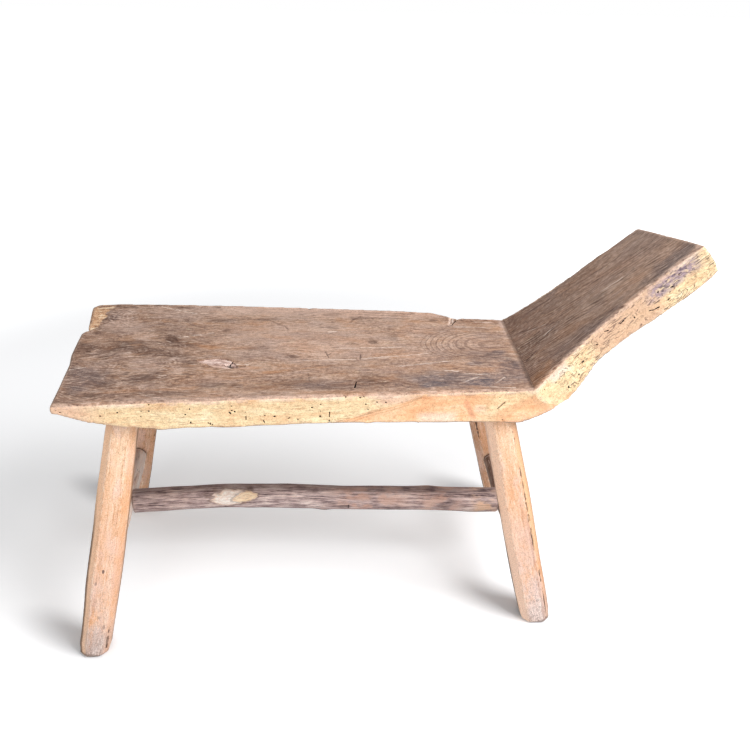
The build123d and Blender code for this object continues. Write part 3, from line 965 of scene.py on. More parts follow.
flow_across = plank.part(flow_at, "Y")
ring_edge = (flow_across + figure * 0.024 + (strokes - 0.5) * 0.002).wave(190)
edge_zone = on_back * strokes.rise(0.36, 0.56, 0.15, 1.0)
top.coat(ring_edge.rise(0.35, 1.0) * edge_zone * 0.55, (86, 60, 48))
top.coat(ring_edge.rise(-0.40, -1.0) * edge_zone * 0.48, (206, 174, 152))

pore = plank.noise(flow_at, (44, 520, 420), 2, 0.55, shift=(2, 9, 5))
pore_share = left_part.most(blue_at).rise(0, 1, 0.55, 0.85)
top.coat(pore.rise(0.41, 0.32) * pore_share, (84, 60, 50))
top.coat(pore.rise(0.60, 0.68) * pore_share * 0.75, (234, 208, 192))
crease_light = s.band(-0.004, 0.003, 0.006) * y.rise(-0.02, 0.09, 0.04, 0.6)
top.coat(crease_light * break_up.rise(0.35, 0.6), (206, 180, 168))

pale_line = pale_line_at * break_up.rise(0.40, 0.56, 0.22, 0.90)
faint_line = faint_line_at * break_up.rise(0.42, 0.58, 0.25, 0.65)
dark_line = dark_line_at * break_up.rise(0.40, 0.55, 0.35, 0.85)
top.coat(faint_line, (92, 66, 56))
top.coat(dark_line, (70, 50, 46))
top.coat(pale_line, (246, 226, 212))

plank.tell("finer marks")

# %% [markdown]
# ## The split knot
# Its far half is pinkish white and its near half beige, with a dark rim round both.

# %% split knot
knot_run = plank.noise(flow_at, (30, 420, 300), 2, 0.6, shift=(5, 5, 1))
knot = (knot_run * 0.6 + mottle * 0.4).ramp(
    (0.38, (168, 130, 118)), (0.49, (214, 182, 170)), (0.58, (240, 216, 206)))
near_half = (y + (s - knot_left) * knot_slope + 0.040).rise(0.001, -0.003)
knot.coat(near_half * 0.35, (222, 182, 160))
knot_rim = knot_at.band(0.42, 0.12, 0.22)
top.coat(knot_rim * 0.5, (110, 80, 72))
top.coat(knot_at.rise(0.40, 0.80), knot)

plank.tell("split knot")

# %% [markdown]
# ## Sapwood of the sides
# The sides are yellow, with cloudy tones, pink at the free end and behind the facet, an orange
# wash that ends in a slanting line at the heel, and short brown dashes.

# %% sapwood
sap_cloud = plank.noise(wood_at, (15, 28, 42), 3, 0.55)
sap_streak = plank.noise(flow_at, (10, 90, 150), 4, 0.65)
sap_grain = plank.noise(flow_at, (50, 340, 480), 2, 0.6)
sap_tone = sap_cloud * 0.34 + sap_streak * 0.28 + sap_grain * 0.18 + mottle * 0.20
sap = sap_tone.ramp((0.37, (214, 166, 124)), (0.435, (233, 195, 152)), (0.50, (241, 212, 168)),
                    (0.56, (246, 223, 182)), (0.63, (251, 235, 203)))
pink = s.rise(-0.70, -0.775).most(s.band(-0.232, 0.022, 0.03) * d.rise(0.028, 0.014))
sap.coat(pink * (0.2 + sap_cloud * 0.9), (228, 184, 164))
heel_low = d - (0.011 - s * 0.50) + (sap_cloud - 0.5) * 0.012
heel_edge = s - (0.006 + d * 0.62) + (strokes - 0.5) * 0.004
heel_wash = heel_low.rise(-0.003, 0.004) * heel_edge.rise(0.002, -0.001)
heel_wash = heel_wash * s.rise(-0.085, -0.050)
sap.coat(heel_wash * 0.90, (234, 182, 140))
lens = heel_edge.band(0.008, 0.005, 0.004) * d.rise(0.004, 0.012)
sap.coat(lens * 0.35, (250, 230, 190))
sap.coat(heel_edge.band(0.001, 0.0006, 0.0015) * d.rise(0.02, 0.03) * 0.6, (214, 158, 118))
under_rim = d.rise(0.011, 0.003) * sap_cloud.rise(0.36, 0.60)
sap.coat(under_rim * 0.6, (250, 226, 208))
dash = plank.noise(flow_at, (44, 560, 700), 2, 0.6, shift=(3, 3, 3)).rise(0.565, 0.66)
dash = dash * sap_cloud.rise(0.38, 0.56, 0.30, 1.0)
sap.coat(dash * 0.62, (158, 108, 78))
plank.tell("sapwood")

# %% [markdown]
# ## Worm holes and tracks
# Tiny black dots are the mouths of worm holes: some cells of a pattern of points are picked by
# luck. On the backrest the worms ran on just under the surface, so their tracks show as broken
# wavering lines with a few gouges, and purple mould has settled near the top.

# %% dots and tracks
dot_at = plank.add("ShaderNodeCombineXYZ", None, {0: s * 105, 1: d * 84 + 3.3})
flat_cells, cell_at = {"voronoi_dimensions": "2D"}, {"Vector": dot_at, "Scale": 1.0}
dot_near = plank.add("ShaderNodeTexVoronoi", flat_cells, cell_at)
dot_pick = plank.add("ShaderNodeTexVoronoi", flat_cells, cell_at, out="Color")
dot_luck = plank.part(dot_pick, "X")
dot = (dot_near + (grit - 0.5) * 0.10).rise(0.05, 0.085, 1, 0) * side_share
dot = dot * (dot_luck.rise(0.80, 0.84) * y.rise(0.0, 0.01, 0.35, 1.0))
back_side = s.rise(0.045, 0.085) * side_share
purple = s.band(0.322, 0.036, 0.03) * d.band(0.017, 0.009, 0.012)
track_at = plank.noise(flow_at, (7, 60, 80), 2, 0.6)
track_gap = plank.noise(wood_at, (46, 60, 90), 3, 0.6, shift=(5, 1, 2))
track = (track_at + (break_up - 0.5) * 0.03).wave(9).rise(0.40, 0.92) * back_side
track = track * (track_gap + purple * 0.05).rise(0.45, 0.53)
track = track * sap_cloud.rise(0.36, 0.54, 0.45, 0.95)
gouge = plank.noise(flow_at, (30, 60, 210), 2, 0.5, shift=(9, 4, 6)).rise(0.72, 0.76) * back_side
brownish = s.band(0.215, 0.05, 0.04) * back_side
sap.coat(brownish * (0.40 + sap_cloud * 0.70), (208, 168, 142))
sap.coat(purple * break_up.rise(0.38, 0.58, 0.30, 0.95), (164, 142, 150))
white_bloom = s.band(0.078, 0.012, 0.012) * d.band(0.011, 0.005, 0.006)
sap.coat(white_bloom * 0.45, (238, 226, 222))
sap.coat(track * 0.75, plank.mix(purple, (104, 78, 70), (80, 66, 82)))
sap.coat(gouge * 0.7, (70, 58, 62))
plank.tell("worm tracks")

# %% [markdown]
# ## The salmon facet
# The slice near the crease bared smooth salmon wood, with a chip, a pale bloom low down and a
# wedge of sapwood left at its right end. Its left end breaks up in slanting lines. The dots and
# the pale line along the top edge go over the sapwood last.

# %% facet
salmon = (sap_cloud * 0.55 + sap_streak * 0.25 + mottle * 0.20).ramp(
    (0.38, (236, 172, 126)), (0.50, (243, 190, 146)), (0.60, (247, 205, 166)))
chip = (s + 0.117 - (d - 0.018) * 0.45).band(0, 0.0022, 0.005) * d.band(0.035, 0.013, 0.010)
salmon.coat(chip * 0.75, (222, 156, 120))
bloom = s.band(-0.165, 0.022, 0.02) * d.rise(0.034, 0.046)
bloom = bloom.most(s.band(-0.090, 0.006, 0.008) * d.band(0.034, 0.004, 0.006) * 0.6)
salmon.coat(bloom * 0.6, (250, 226, 208))
wedge = d - (0.020 - s * 0.75) + (sap_cloud - 0.5) * 0.02
cream = s.rise(-0.098, -0.066) * wedge.rise(0.004, -0.006)
salmon.coat(cream * 0.8, sap)
from_facet = s + 0.348 - (0.052 - d) * 3.4 + (strokes - 0.5) * 0.010
facet_line = from_facet.band(0.002, 0.0015, 0.004).most(from_facet.band(0.018, 0.0015, 0.004))
facet_line = facet_line.most(from_facet.band(0.034, 0.0015, 0.004))
facet_line = facet_line * s.rise(-0.19, -0.22) * side_share
sap.coat(facet_at, salmon)
sap.coat(facet_line * 0.50 * facet_at.rise(0.1, 0.4), (206, 150, 108))
sap.coat(dot * facet_at.rise(0.2, 0.6, 0.9, 0.1), (60, 50, 50))
low_line = d.band(0.0, 0.0065, 0.003) * break_up.rise(0.45, 0.62)
sap.coat(low_line * 0.45, (222, 186, 166))

plank.tell("facet")

# %% [markdown]
# ## Underside and ends
# The underside is the same tone without its polish. At the ends the yearly rings show as arcs
# round the heart of the trunk, which lay under the plank's top.

# %% underside and ends
under = tone.ramp((0.40, (112, 84, 68)), (0.50, (150, 120, 100)), (0.60, (184, 154, 130)))
under.coat(hue.rise(0.45, 0.62) * 0.4, (190, 148, 112))
under.coat(figure_line * 0.4, (84, 62, 52))
heart_away = (y * y + (d + 0.06) * (d + 0.06)).root() + (cloud - 0.5) * 0.010
end_ring = (heart_away * 1150).sine()
ends = (grit * 0.4 + break_up * 0.3 + mottle * 0.3).ramp(
    (0.38, (136, 104, 84)), (0.50, (176, 140, 112)), (0.62, (206, 170, 140)))
ends.coat(end_ring.rise(0.2, 0.9) * 0.45, (112, 82, 64))
plank.tell("underside and ends")

# %% [markdown]
# ## Joining the woods
# The shares of top, side, underside and end blend over the worn edges, and noise frays the line
# where they meet. The pared corner, scuffed edges, dirt in hollows and the black of the cuts
# come last, and a fine grit darkens and lightens everything.

# %% join the woods
fray = (break_up - 0.5) * 0.5 + (grain - 0.5) * 0.6 + (cloud - 0.5) * 0.8
skin = plank.mix((top_share + fray).rise(0.44, 0.58), sap, top)
edge_line = (top_share + fray * 0.8).band(0.62, 0.14, 0.22) * mottle.rise(0.36, 0.58)
skin.coat(edge_line * 0.65, (220, 182, 158))
bared = (strokes * 0.5 + mottle * 0.5).ramp(
    (0.42, (138, 98, 76)), (0.475, (198, 150, 114)), (0.54, (236, 190, 148)), (0.60, (252, 228, 198)))
pared_fray = (break_up - 0.5) * 0.6 + (grain - 0.5) * 0.5 + (strokes - 0.5) * 1.6
skin.coat((pared_at + pared_fray).rise(0.26, 0.56) * 0.9, bared)
skin.coat((under_share + fray).rise(0.44, 0.58), under)
skin.coat((end_share + fray * 0.4).rise(0.44, 0.58), ends)
scuffed = edge_at.rise(0.35, 1.0) * break_up.rise(0.42, 0.60)
skin.coat(scuffed * 0.35, (222, 190, 168))
skin.coat(edge_at.rise(-0.25, -1.0) * 0.45, (90, 66, 54))
skin.coat(cut_at.rise(0.25, 0.65) * 0.95, (38, 32, 36))
skin.coat(1.0, (grit * 0.55 + mottle * 0.45).ramp(
    (0.36, (0.66, 0.64, 0.63, 1)), (0.50, (0.97, 0.97, 0.97, 1)), (0.63, (1.16, 1.16, 1.16, 1))), "MULTIPLY")

roughness = tone.rise(0.40, 0.60, 0.64, 0.50) + (1 - top_share) * 0.18
fine_height = grain * 0.7 + fibre * 0.4 + mottle * 0.5 - figure_line * 0.4
fine_height = fine_height - ring_line * ring_zone * 0.5
fine_height = fine_height - track - gouge * 1.5 - dot * 2.5 - dark_line * 0.8
slab.data.materials.append(plank.surface(skin, roughness, [(strokes, 0.0009), (fine_height, 0.0008)]))
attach(slab, "root")
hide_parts("seat_back_slab")
plank.tell("complete")

# %% [markdown]
# ## Four shaved legs
# Each leg was split out and shaved to eight sides with a drawknife, so its faces are long and a
# little hollow, and its corners wander. Its measure is how far up its own middle line, and how
# far out to the right and to the back. Drying checks climb the legs; one front leg has a long
# one beside its shaved corner. A check is given by its angle round the leg.

# %% measure a leg and its checks
# foot and top of the middle line, how far the foot's grey wear climbs and how deep it is ground,
# how much thinner the shin is, how far the upper part stands to the left, and over which height
legs = {
    "front_left_leg": ((-0.52873, -0.22553, 0), (-0.44873, -0.13553, 0.431), 0.075, 0.0024,
                       0.0007, 0.0012, (0.25, 0.38)),
    "front_right_leg": ((0.29127, -0.17153, 0), (0.19427, -0.10853, 0.431), 0.085, 0.0016,
                        0, 0.0012, (0.02, 0.10)),
    "rear_left_leg": ((-0.53073, 0.22547, 0), (-0.44173, 0.15747, 0.431), 0.05, 0.0024, 0, 0, (0, 1)),
    "rear_right_leg": ((0.29227, 0.19747, 0), (0.17727, 0.10947, 0.431), 0.06, 0.0024, 0, 0, (0, 1)),
}
# angle in degrees, where the check starts and ends up the leg, width, depth
checks = {
    "front_left_leg": ((-40, 0.0, 0.060, 0.0008, 0.002),),
    "front_right_leg": ((-55, 0.130, 0.400, 0.0010, 0.0035), (-46, 0.0, 0.110, 0.0008, 0.002)),
    "rear_left_leg": ((-30, 0.20, 0.36, 0.0012, 0.003), (-95, 0.0, 0.05, 0.0012, 0.003)),
    "rear_right_leg": ((-120, 0.22, 0.40, 0.0012, 0.003), (-90, 0.0, 0.05, 0.0012, 0.003)),
}
leg_round = 0.027


def leg_measure(co, foot, top):
    """Right, back and up from the foot of a leg's middle line."""
    up_leg = (Vector(top) - Vector(foot)).normalized()
    rightward = (Vector((1, 0, 0)) - up_leg * up_leg.x).normalized()
    back = up_leg.cross(rightward)
    return (co - np.array(foot)) @ np.array([rightward, back, up_leg]).T


def check_distance(local, check, seed):
    """How far each point of a leg lies sideways from a check that wanders up it."""
    angle, low, high, _, _ = check
    climb = np.stack([local[:, 2] * 0 + seed, local[:, 2], local[:, 2] * 0], -1)
    wander = 0.0034 * ripple(climb, 0.045, 90) + 0.0012 * ripple(climb, 0.011, 91)
    around = np.arctan2(local[:, 1], local[:, 0]) - math.radians(angle)
    around = np.abs((around + math.pi) % (2 * math.pi) - math.pi) * leg_round + wander
    beyond = np.maximum(0, np.maximum(low - local[:, 2], local[:, 2] - high))
    return np.hypot(around, beyond)


def near_checks(co, node, seed):
    local = leg_measure(co, *legs[node][:2])
    return np.min([check_distance(local, check, seed) for check in checks[node]], 0) < 0.006


print("checks:", sum(len(listed) for listed in checks.values()))

# %% [markdown] ## Carving the legs The drawknife's long waves fade out where a leg enters the
# seat.

# %% carve the legs
worn_legs = {}
for number, (node, (foot, top, grey, ground, thinner, aside, aside_span)) in enumerate(legs.items()):
    leg = even_skin(node, 0.0026, 3)
    refine(leg, lambda co: near_checks(co, node, number))
    co, out, pairs = net_of(leg)
    local = leg_measure(co, foot, top)
    height = local[:, 2]
    below_seat = 1 - fade(height, 0.425, 0.44)
    own_place = np.array([5.0 * number, 0, 0])
    push = 0.0011 * ripple(local * (1, 1, 0.35) + own_place, 0.035, 100) * below_seat
    push += 0.0004 * ripple(local * (1, 1, 0.3) + own_place, 0.011, 101) * below_seat
    grind = 1 - fade(height + 0.006 * ripple(local + own_place, 0.02, 102), 0.0, 0.022)
    push -= ground * grind * fade(np.hypot(local[:, 0], local[:, 1]), 0.018, 0.030)
    split = np.zeros(len(co))
    for check in checks[node]:
        *_, wide, cut_deep = check
        away = check_distance(local, check, number)
        breaks = ripple(local * (0.3, 0.3, 1) + own_place, 0.012, 104)
        inside = (1 - fade(away, 0.2 * wide, wide + 0.0005)) * fade(breaks, -0.45, -0.15)
        push -= cut_deep * inside * below_seat
        split = np.maximum(split, inside * below_seat)
    push -= thinner * (1 - fade(height, 0.22, 0.34)) * fade(height, 0.01, 0.05)
    co = co + out * push[:, None]
    co[:, 0] -= aside * fade(height, *aside_span)
    co[:, 2] = np.maximum(co[:, 2], 0)
    move_corners(leg, co)
    grey_climb = height + 0.03 * ripple(local + own_place, 0.025, 103)
    foot_wear = 1 - fade(grey_climb, -0.2 * grey, 1.5 * grey)
    keep(leg, "wood", *(local + (0.31 * number, 0.17 * number, 0.7 * number)).T)
    keep(leg, "place", *local.T)
    keep(leg, "wear", bulge_of(leg, 4, 0.0006), split, foot_wear)
    worn_legs[node] = leg
    print(node, "is", round(float(height.max()), 3), "m along its middle line")

# %% [markdown]
# ## The wood of the legs
# Split light wood, rubbed bare: orange-tan with fine upright fibres, paler streaks and thin
# brown lines. The rear legs have stayed browner. Each leg has a finish of its own, which keeps
# its noises and places under names, so that the steps after this one can use them.

# %% bare wood of the legs
# how brown the wood is, how far the cracks climb from the foot, how dark the foot is
leg_tones = {
    "front_left_leg": (0.04, 0.50, 0.26),
    "front_right_leg": (0.12, 0.75, 0.0),
    "rear_left_leg": (0.16, 0.2, 0.3),
    "rear_right_leg": (0.36, 0.2, 0.3),
}
leg_finishes = {}
for node, (browner, crazing, _) in leg_tones.items():
    shaved = leg_finishes[node] = Finish(bpy.data.materials.new("shaved_" + node))
    shaved.fibres, _ = shaved.attribute("wood")
    _, (shaved.right, shaved.back, shaved.up) = shaved.attribute("place")
    _, (shaved.edge, shaved.split, shaved.foot) = shaved.attribute("wear")
    _, (shaved.gap, _, _) = shaved.attribute("joint")
    long_streak = shaved.noise(shaved.fibres, (60, 60, 5), 4, 0.6, 0.5)
    line = shaved.line = shaved.noise(shaved.fibres, (260, 260, 12), 3, 0.65)
    dashes = shaved.dashes = shaved.noise(shaved.fibres, (430, 430, 75), 3, 0.75)
    patch = shaved.patch = shaved.noise(shaved.fibres, (34, 34, 15), 4, 0.65)
    shaved.dust = shaved.noise(shaved.fibres, (620, 620, 480), 3, 0.8)
    leg_tone = shaved.tone = long_streak * 0.30 + line * 0.30 + dashes * 0.28 + shaved.dust * 0.12
    bare = leg_tone.ramp((0.37, (204, 146, 106)), (0.44, (232, 180, 139)), (0.50, (244, 200, 163)),
                         (0.555, (250, 213, 182)), (0.63, (254, 232, 210)))
    brown = leg_tone.ramp((0.38, (146, 102, 78)), (0.50, (206, 158, 130)), (0.62, (238, 198, 170)))
    paint = shaved.paint = shaved.mix(patch.rise(0.3, 0.7) * 0.2 + browner * 0.8, bare, brown)
    paint.coat(patch.rise(0.51, 0.62) * 0.55, (248, 214, 198))
    paint.coat(patch.rise(0.48, 0.38) * 0.45, (226, 162, 116))
    paint.coat(dashes.rise(0.60, 0.70) * 0.55, (255, 243, 230))
    paint.coat(line.rise(0.38, 0.29) * 0.45, (176, 120, 88))
    paint.coat(dashes.rise(0.39, 0.30) * 0.60, (136, 92, 70))
    # painted light: the top of each leg is paler, against the seat's shadow there
    paint.coat(shaved.up.rise(0.30, 0.38) * 0.22, (255, 228, 200))
    paint.coat(shaved.up.band(0.22, 0.06, 0.10) * (crazing * 0.45), (226, 160, 120))
    shaved.tell("bare wood")

# %% [markdown]
# ## The feet
# Years on stone have ground the feet grey and pink, and a net of fine cracks covers them. It is
# dense at the foot and thins out as it climbs.

# %% crazed feet
for node, (_, crazing, foot_shade) in leg_tones.items():
    shaved = leg_finishes[node]
    patch, dust, dashes, paint = shaved.patch, shaved.dust, shaved.dashes, shaved.paint
    bent = shaved.noise(shaved.fibres, (90, 90, 60), 3, 0.7, out="Color")
    net_at = shaved.stretch(bent, (2.2, 2.2, 1.6), shaved.stretch(shaved.fibres, (260, 260, 70)))
    crack = shaved.add("ShaderNodeTexVoronoi", {"feature": "DISTANCE_TO_EDGE"},
                       {"Vector": net_at, "Scale": 1.0})
    crack = crack.rise(0.085, 0.015) * patch.rise(0.36, 0.52, 0.35, 1.0)
    crazed = shaved.foot.most(shaved.up.rise(0.27, 0.04) * crazing)
    grey = (patch * 0.4 + dust * 0.3 + dashes * 0.3).ramp(
        (0.38, (186, 162, 152)), (0.50, (228, 206, 197)), (0.60, (250, 234, 226)))
    grey.coat(foot_shade, (132, 110, 102))
    paint.coat(shaved.up.rise(0.30, 0.06) * crazing * patch.rise(0.32, 0.52) * 0.95, (238, 208, 198))
    worn_foot = shaved.foot + (patch - 0.5) * 1.1 + (dashes - 0.5) * 0.9
    paint.coat(worn_foot.rise(0.15, 0.95) * 0.92, grey)
    paint.coat(crack * crazed * 0.55, (124, 90, 80))
    shaved.crack, shaved.crazed = crack, crazed
    shaved.tell("crazed foot")

# %% [markdown]
# ## Stains and sides
# A few dark stains sit on the front of a leg, and one leg has a pale strip along its shaved
# corner. The right sides are painted more orange as painted shade, and the left sides of the
# front legs are painted paler as painted light.
#
# The black along two edges of each leg is not a mark of use. It is laid where the leg turns away
# from the main camera, by the bearing of the leg from that camera, and stands for a thin dark
# outline in that one view. It is a fault: from the side or behind it shows as a hard, nearly
# black stripe. With the two dark shares in the table set to 0 it is gone.

# %% stains, strip and sides of the legs
# right, height, half width, half height and strength of each stain
stains = {
    "front_left_leg": ((0.001, 0.172, 0.0026, 0.0046, 0.85), (-0.009, 0.146, 0.0030, 0.0040, 0.35),
                       (0.003, 0.080, 0.0040, 0.0030, 0.35), (0.014, 0.062, 0.003, 0.006, 0.5)),
    "front_right_leg": ((0.008, 0.050, 0.004, 0.004, 0.3),),
}
strips = {"front_right_leg": (0.13, 0.40)}
outline_black = (78, 62, 52)
# sine of the leg's bearing from the camera, share and colour of the painted light on its left
# side, how dark its left outline is and how high that climbs, how dark its right outline is
bearing_cosine = 0.966
sides = {
    "front_left_leg": (-0.26, 0.80, (255, 208, 170), 0.80, 0.34, 0.50),
    "front_right_leg": (0.26, 0.75, (255, 216, 188), 0.95, 0.36, 0.25),
    "rear_left_leg": (-0.26, 0.0, outline_black, 0.3, 0.6, 0.95),
    "rear_right_leg": (0.26, 0.0, outline_black, 0.95, 0.6, 0.3),
}
for node, shaved in leg_finishes.items():
    right_at, back_at, up_at = shaved.right, shaved.back, shaved.up
    dashes, paint = shaved.dashes, shaved.paint
    for right_mark, up_mark, wide, high, strength in stains.get(node, ()):
        near = ((right_at - right_mark) / wide) ** 2 + ((up_at - up_mark) / high) ** 2
        near = near + (dashes - 0.5) * 1.6
        on_front = back_at.rise(-0.008, -0.016)
        paint.coat(near.rise(0.9, 0.3) * on_front * strength, (92, 74, 74))
    if node in strips:
        low, high = strips[node]
        on_strip = right_at.rise(0.0165, 0.0190) * back_at.rise(-0.004, -0.010)
        on_strip = on_strip * up_at.rise(low, low + 0.04) * up_at.rise(high, high - 0.03)
        paint.coat(on_strip * 0.75, (238, 198, 156))
        scuff = right_at.band(0.0150, 0.0012, 0.0020) * up_at.rise(0.26, 0.20)
        paint.coat(scuff * shaved.dust.rise(0.42, 0.56) * 0.6, (150, 98, 82))
    bearing_sine, left_light_share, left_painted_light, left_dark, dark_top, right_dark = sides[node]
    off_middle = (right_at * right_at + back_at * back_at).root()
    turned = right_at / off_middle + (dashes - 0.5) * 0.10
    # painted shade on the right sides, painted light on the left sides, by the leg's own directions
    paint.coat(turned.rise(0.45, 0.8) * 0.46, (224, 162, 114))
    paint.coat(turned.rise(-0.36, -0.66) * left_light_share, left_painted_light)
    off_view = (right_at * bearing_cosine - back_at * bearing_sine) / off_middle
    off_view = off_view + (dashes - 0.5) * 0.06
    low_part = (up_at + (shaved.patch - 0.5) * 0.12).rise(dark_top, dark_top - 0.12)
    low_part = low_part * left_dark
    shaved.outline = (off_view.rise(-0.870, -0.930) * low_part).most(
        off_view.rise(0.900, 0.950) * right_dark)
    shaved.tell("stains and sides")

# %% [markdown]
# ## Worn corners, checks and joints
# Rubbed corners are paler and brown in turns, hollows are dark and checks are darker. Dirt and
# painted shade darken the gap where a pole enters the leg, and the lowest few millimetres of each
# leg are darker.

# %% wear of the legs
for node, shaved in leg_finishes.items():
    dashes, paint, gap_at = shaved.dashes, shaved.paint, shaved.gap
    rubbed = shaved.edge.rise(0.3, 1.0)
    paint.coat(rubbed * dashes.rise(0.46, 0.60) * 0.40, (255, 236, 214))
    paint.coat(rubbed * dashes.rise(0.50, 0.38) * 0.35, (182, 124, 88))
    paint.coat(shaved.edge.rise(-0.2, -0.9) * 0.5, (140, 96, 72))
    paint.coat(shaved.outline, outline_black)
    paint.coat(shaved.split.rise(0.15, 0.7) * 0.85, (74, 50, 42))
    # dirt and painted shade: the gap round each pole is brown, and nearly black close in
    paint.coat(gap_at.rise(0.0060, 0.0010) * 0.45, (120, 84, 66))
    paint.coat(gap_at.rise(0.0022, 0.0008) * 0.70, (62, 48, 44))
    paint.coat(shaved.up.rise(0.004, 0.0) * 0.6, (92, 76, 70))
    paint.coat(1.0, shaved.dust.ramp((0.36, (0.74, 0.72, 0.70, 1)), (0.50, (0.99, 0.99, 0.99, 1)),
                                     (0.62, (1.10, 1.10, 1.10, 1))), "MULTIPLY")
    height = shaved.line * 0.5 + dashes * 0.5 - shaved.crack * shaved.crazed * 1.0
    roughness = shaved.tone.rise(0.35, 0.65, 0.66, 0.56)
    leg = worn_legs[node]
    leg.data.materials.append(shaved.surface(paint, roughness, [(shaved.patch, 0.0006), (height, 0.0005)]))
    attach(leg, "root")
    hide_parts(node)
    shaved.tell("complete")

# %% [markdown]
# ## Three poles
# The stretchers are young stems, peeled and left round, so they swell at their knots. The long
# one has a crook near its left end, a bare pale patch where a side shoot was cut off, and a knot
# underneath. A pole's measure runs along its own line, which is read from the skin itself.

# %% measure and carve a pole
def pole_measure(co, axis):
    """Along the pole, and how far off its own middle line in the other two directions."""
    run = co[:, axis]
    parts = 24
    steps = np.linspace(run.min(), run.max(), parts + 1)
    which = np.clip(np.digitize(run, steps) - 1, 0, parts - 1)
    count = np.maximum(np.bincount(which, minlength=parts), 1)
    local = [run]
    for i in (i for i in range(3) if i != axis):
        middles = np.bincount(which, co[:, i], parts) / count
        local.append(co[:, i] - np.interp(run, (steps[1:] + steps[:-1]) / 2, middles))
    return np.stack(local, -1)


# the axis a pole runs along, and its bumps: (along, outward direction in the other two axes,
# length, height)
poles = {
    "long_stretcher": (0, ((-0.110, (-0.3, -1), 0.014, 0.0026), (-0.300, (-0.2, 1), 0.040, 0.0016),
                           (0.185, (-0.2, -1), 0.050, 0.0022), (-0.265, (-1, 0.3), 0.024, 0.0015),
                           (0.030, (-0.5, 1), 0.05, 0.001), (0.10, (1, 0.3), 0.020, 0.0025))),
    "cross_stretcher_left": (1, ((-0.05, (1, 0.2), 0.02, 0.0016), (0.09, (-1, 0.5), 0.02, 0.0014))),
    "cross_stretcher_right": (1, ((0.03, (-1, 0.2), 0.02, 0.0016), (-0.08, (1, 0.5), 0.02, 0.0014))),
}
worn_poles = {}
for number, (node, (axis, bumps)) in enumerate(poles.items()):
    pole = even_skin(node, 0.0026, 3)
    co, out, pairs = net_of(pole)
    local = pole_measure(co, axis)
    run = local[:, 0]
    others = [i for i in range(3) if i != axis]
    own_place = np.array([3.0 * number, 0, 0])
    push = 0.0010 * ripple(local * (0.4, 1, 1) + own_place, 0.022, 110)
    push += 0.0005 * ripple(local * (0.25, 1, 1) + own_place, 0.007, 111)
    for along_at, direction, length, high in bumps:
        facing = out[:, others] @ (np.array(direction) / np.hypot(*direction))
        push += high * np.exp(-((run - along_at) / length) ** 2) * np.clip(facing, 0, 1) ** 2
    from_end = np.minimum(run - run.min(), run.max() - run)
    push = push * fade(from_end, 0.008, 0.03)
    co = co + out * push[:, None]
    if node == "long_stretcher":
        sag = np.exp(-((run + 0.07) / 0.13) ** 4)
        thin_below = np.exp(-((run + 0.33) / 0.07) ** 4) * np.clip(-out[:, 2], 0, 1)
        co[:, 2] -= 0.0013 * sag
        co[:, 2] += 0.0014 * thin_below
    move_corners(pole, co)
    keep(pole, "wood", *(local + (0.9 * number, 0, 0)).T)
    keep(pole, "place", *local.T)
    keep(pole, "wear", bulge_of(pole, 4, 0.0005), 0 * run, out[:, 2])
    worn_poles[node] = pole
    print(node, "runs", round(float(np.ptp(run)), 3), "m")

# %% [markdown]
# ## Where poles go into legs
# Dirt and painted shade darken the narrow gap round every joint. Each corner of a leg keeps its
# distance from the nearest pole, and each corner of a pole its distance from the nearest leg.

# %% distance from the nearest joint
def skin_tree(piece):
    corners = [v.co.copy() for v in piece.data.vertices]
    return BVHTree.FromPolygons(corners, [tuple(face.vertices) for face in piece.data.polygons])


for pieces, others in ((worn_legs, worn_poles), (worn_poles, worn_legs)):
    trees = [skin_tree(other) for other in others.values()]
    for piece in pieces.values():
        gap = np.array([min(tree.find_nearest(v.co)[3] for tree in trees) for v in piece.data.vertices])
        keep(piece, "joint", gap, 0 * gap, 0 * gap)
print("joints measured on", len(worn_legs) + len(worn_poles), "pieces")

# %% [markdown]
# ## The wood of the poles
# Peeled stems go grey-brown with a purple cast, and their fibres run the whole length. The long
# one has rosy patches; the cross poles are the same wood without the purple. Their tones carry
# painted light: the left cross pole is painted nearly white to make up for the shade it stands
# in, and the right one darker as painted shade.

# %% peeled wood of the poles
rosy = (206, 162, 142)
# along, half length, strength and colour
rosy_patches = ((-0.02, 0.10, 0.7, rosy), (0.12, 0.06, 0.7, rosy), (0.21, 0.035, 0.9, (222, 182, 150)),
                (-0.40, 0.08, 0.10, rosy))
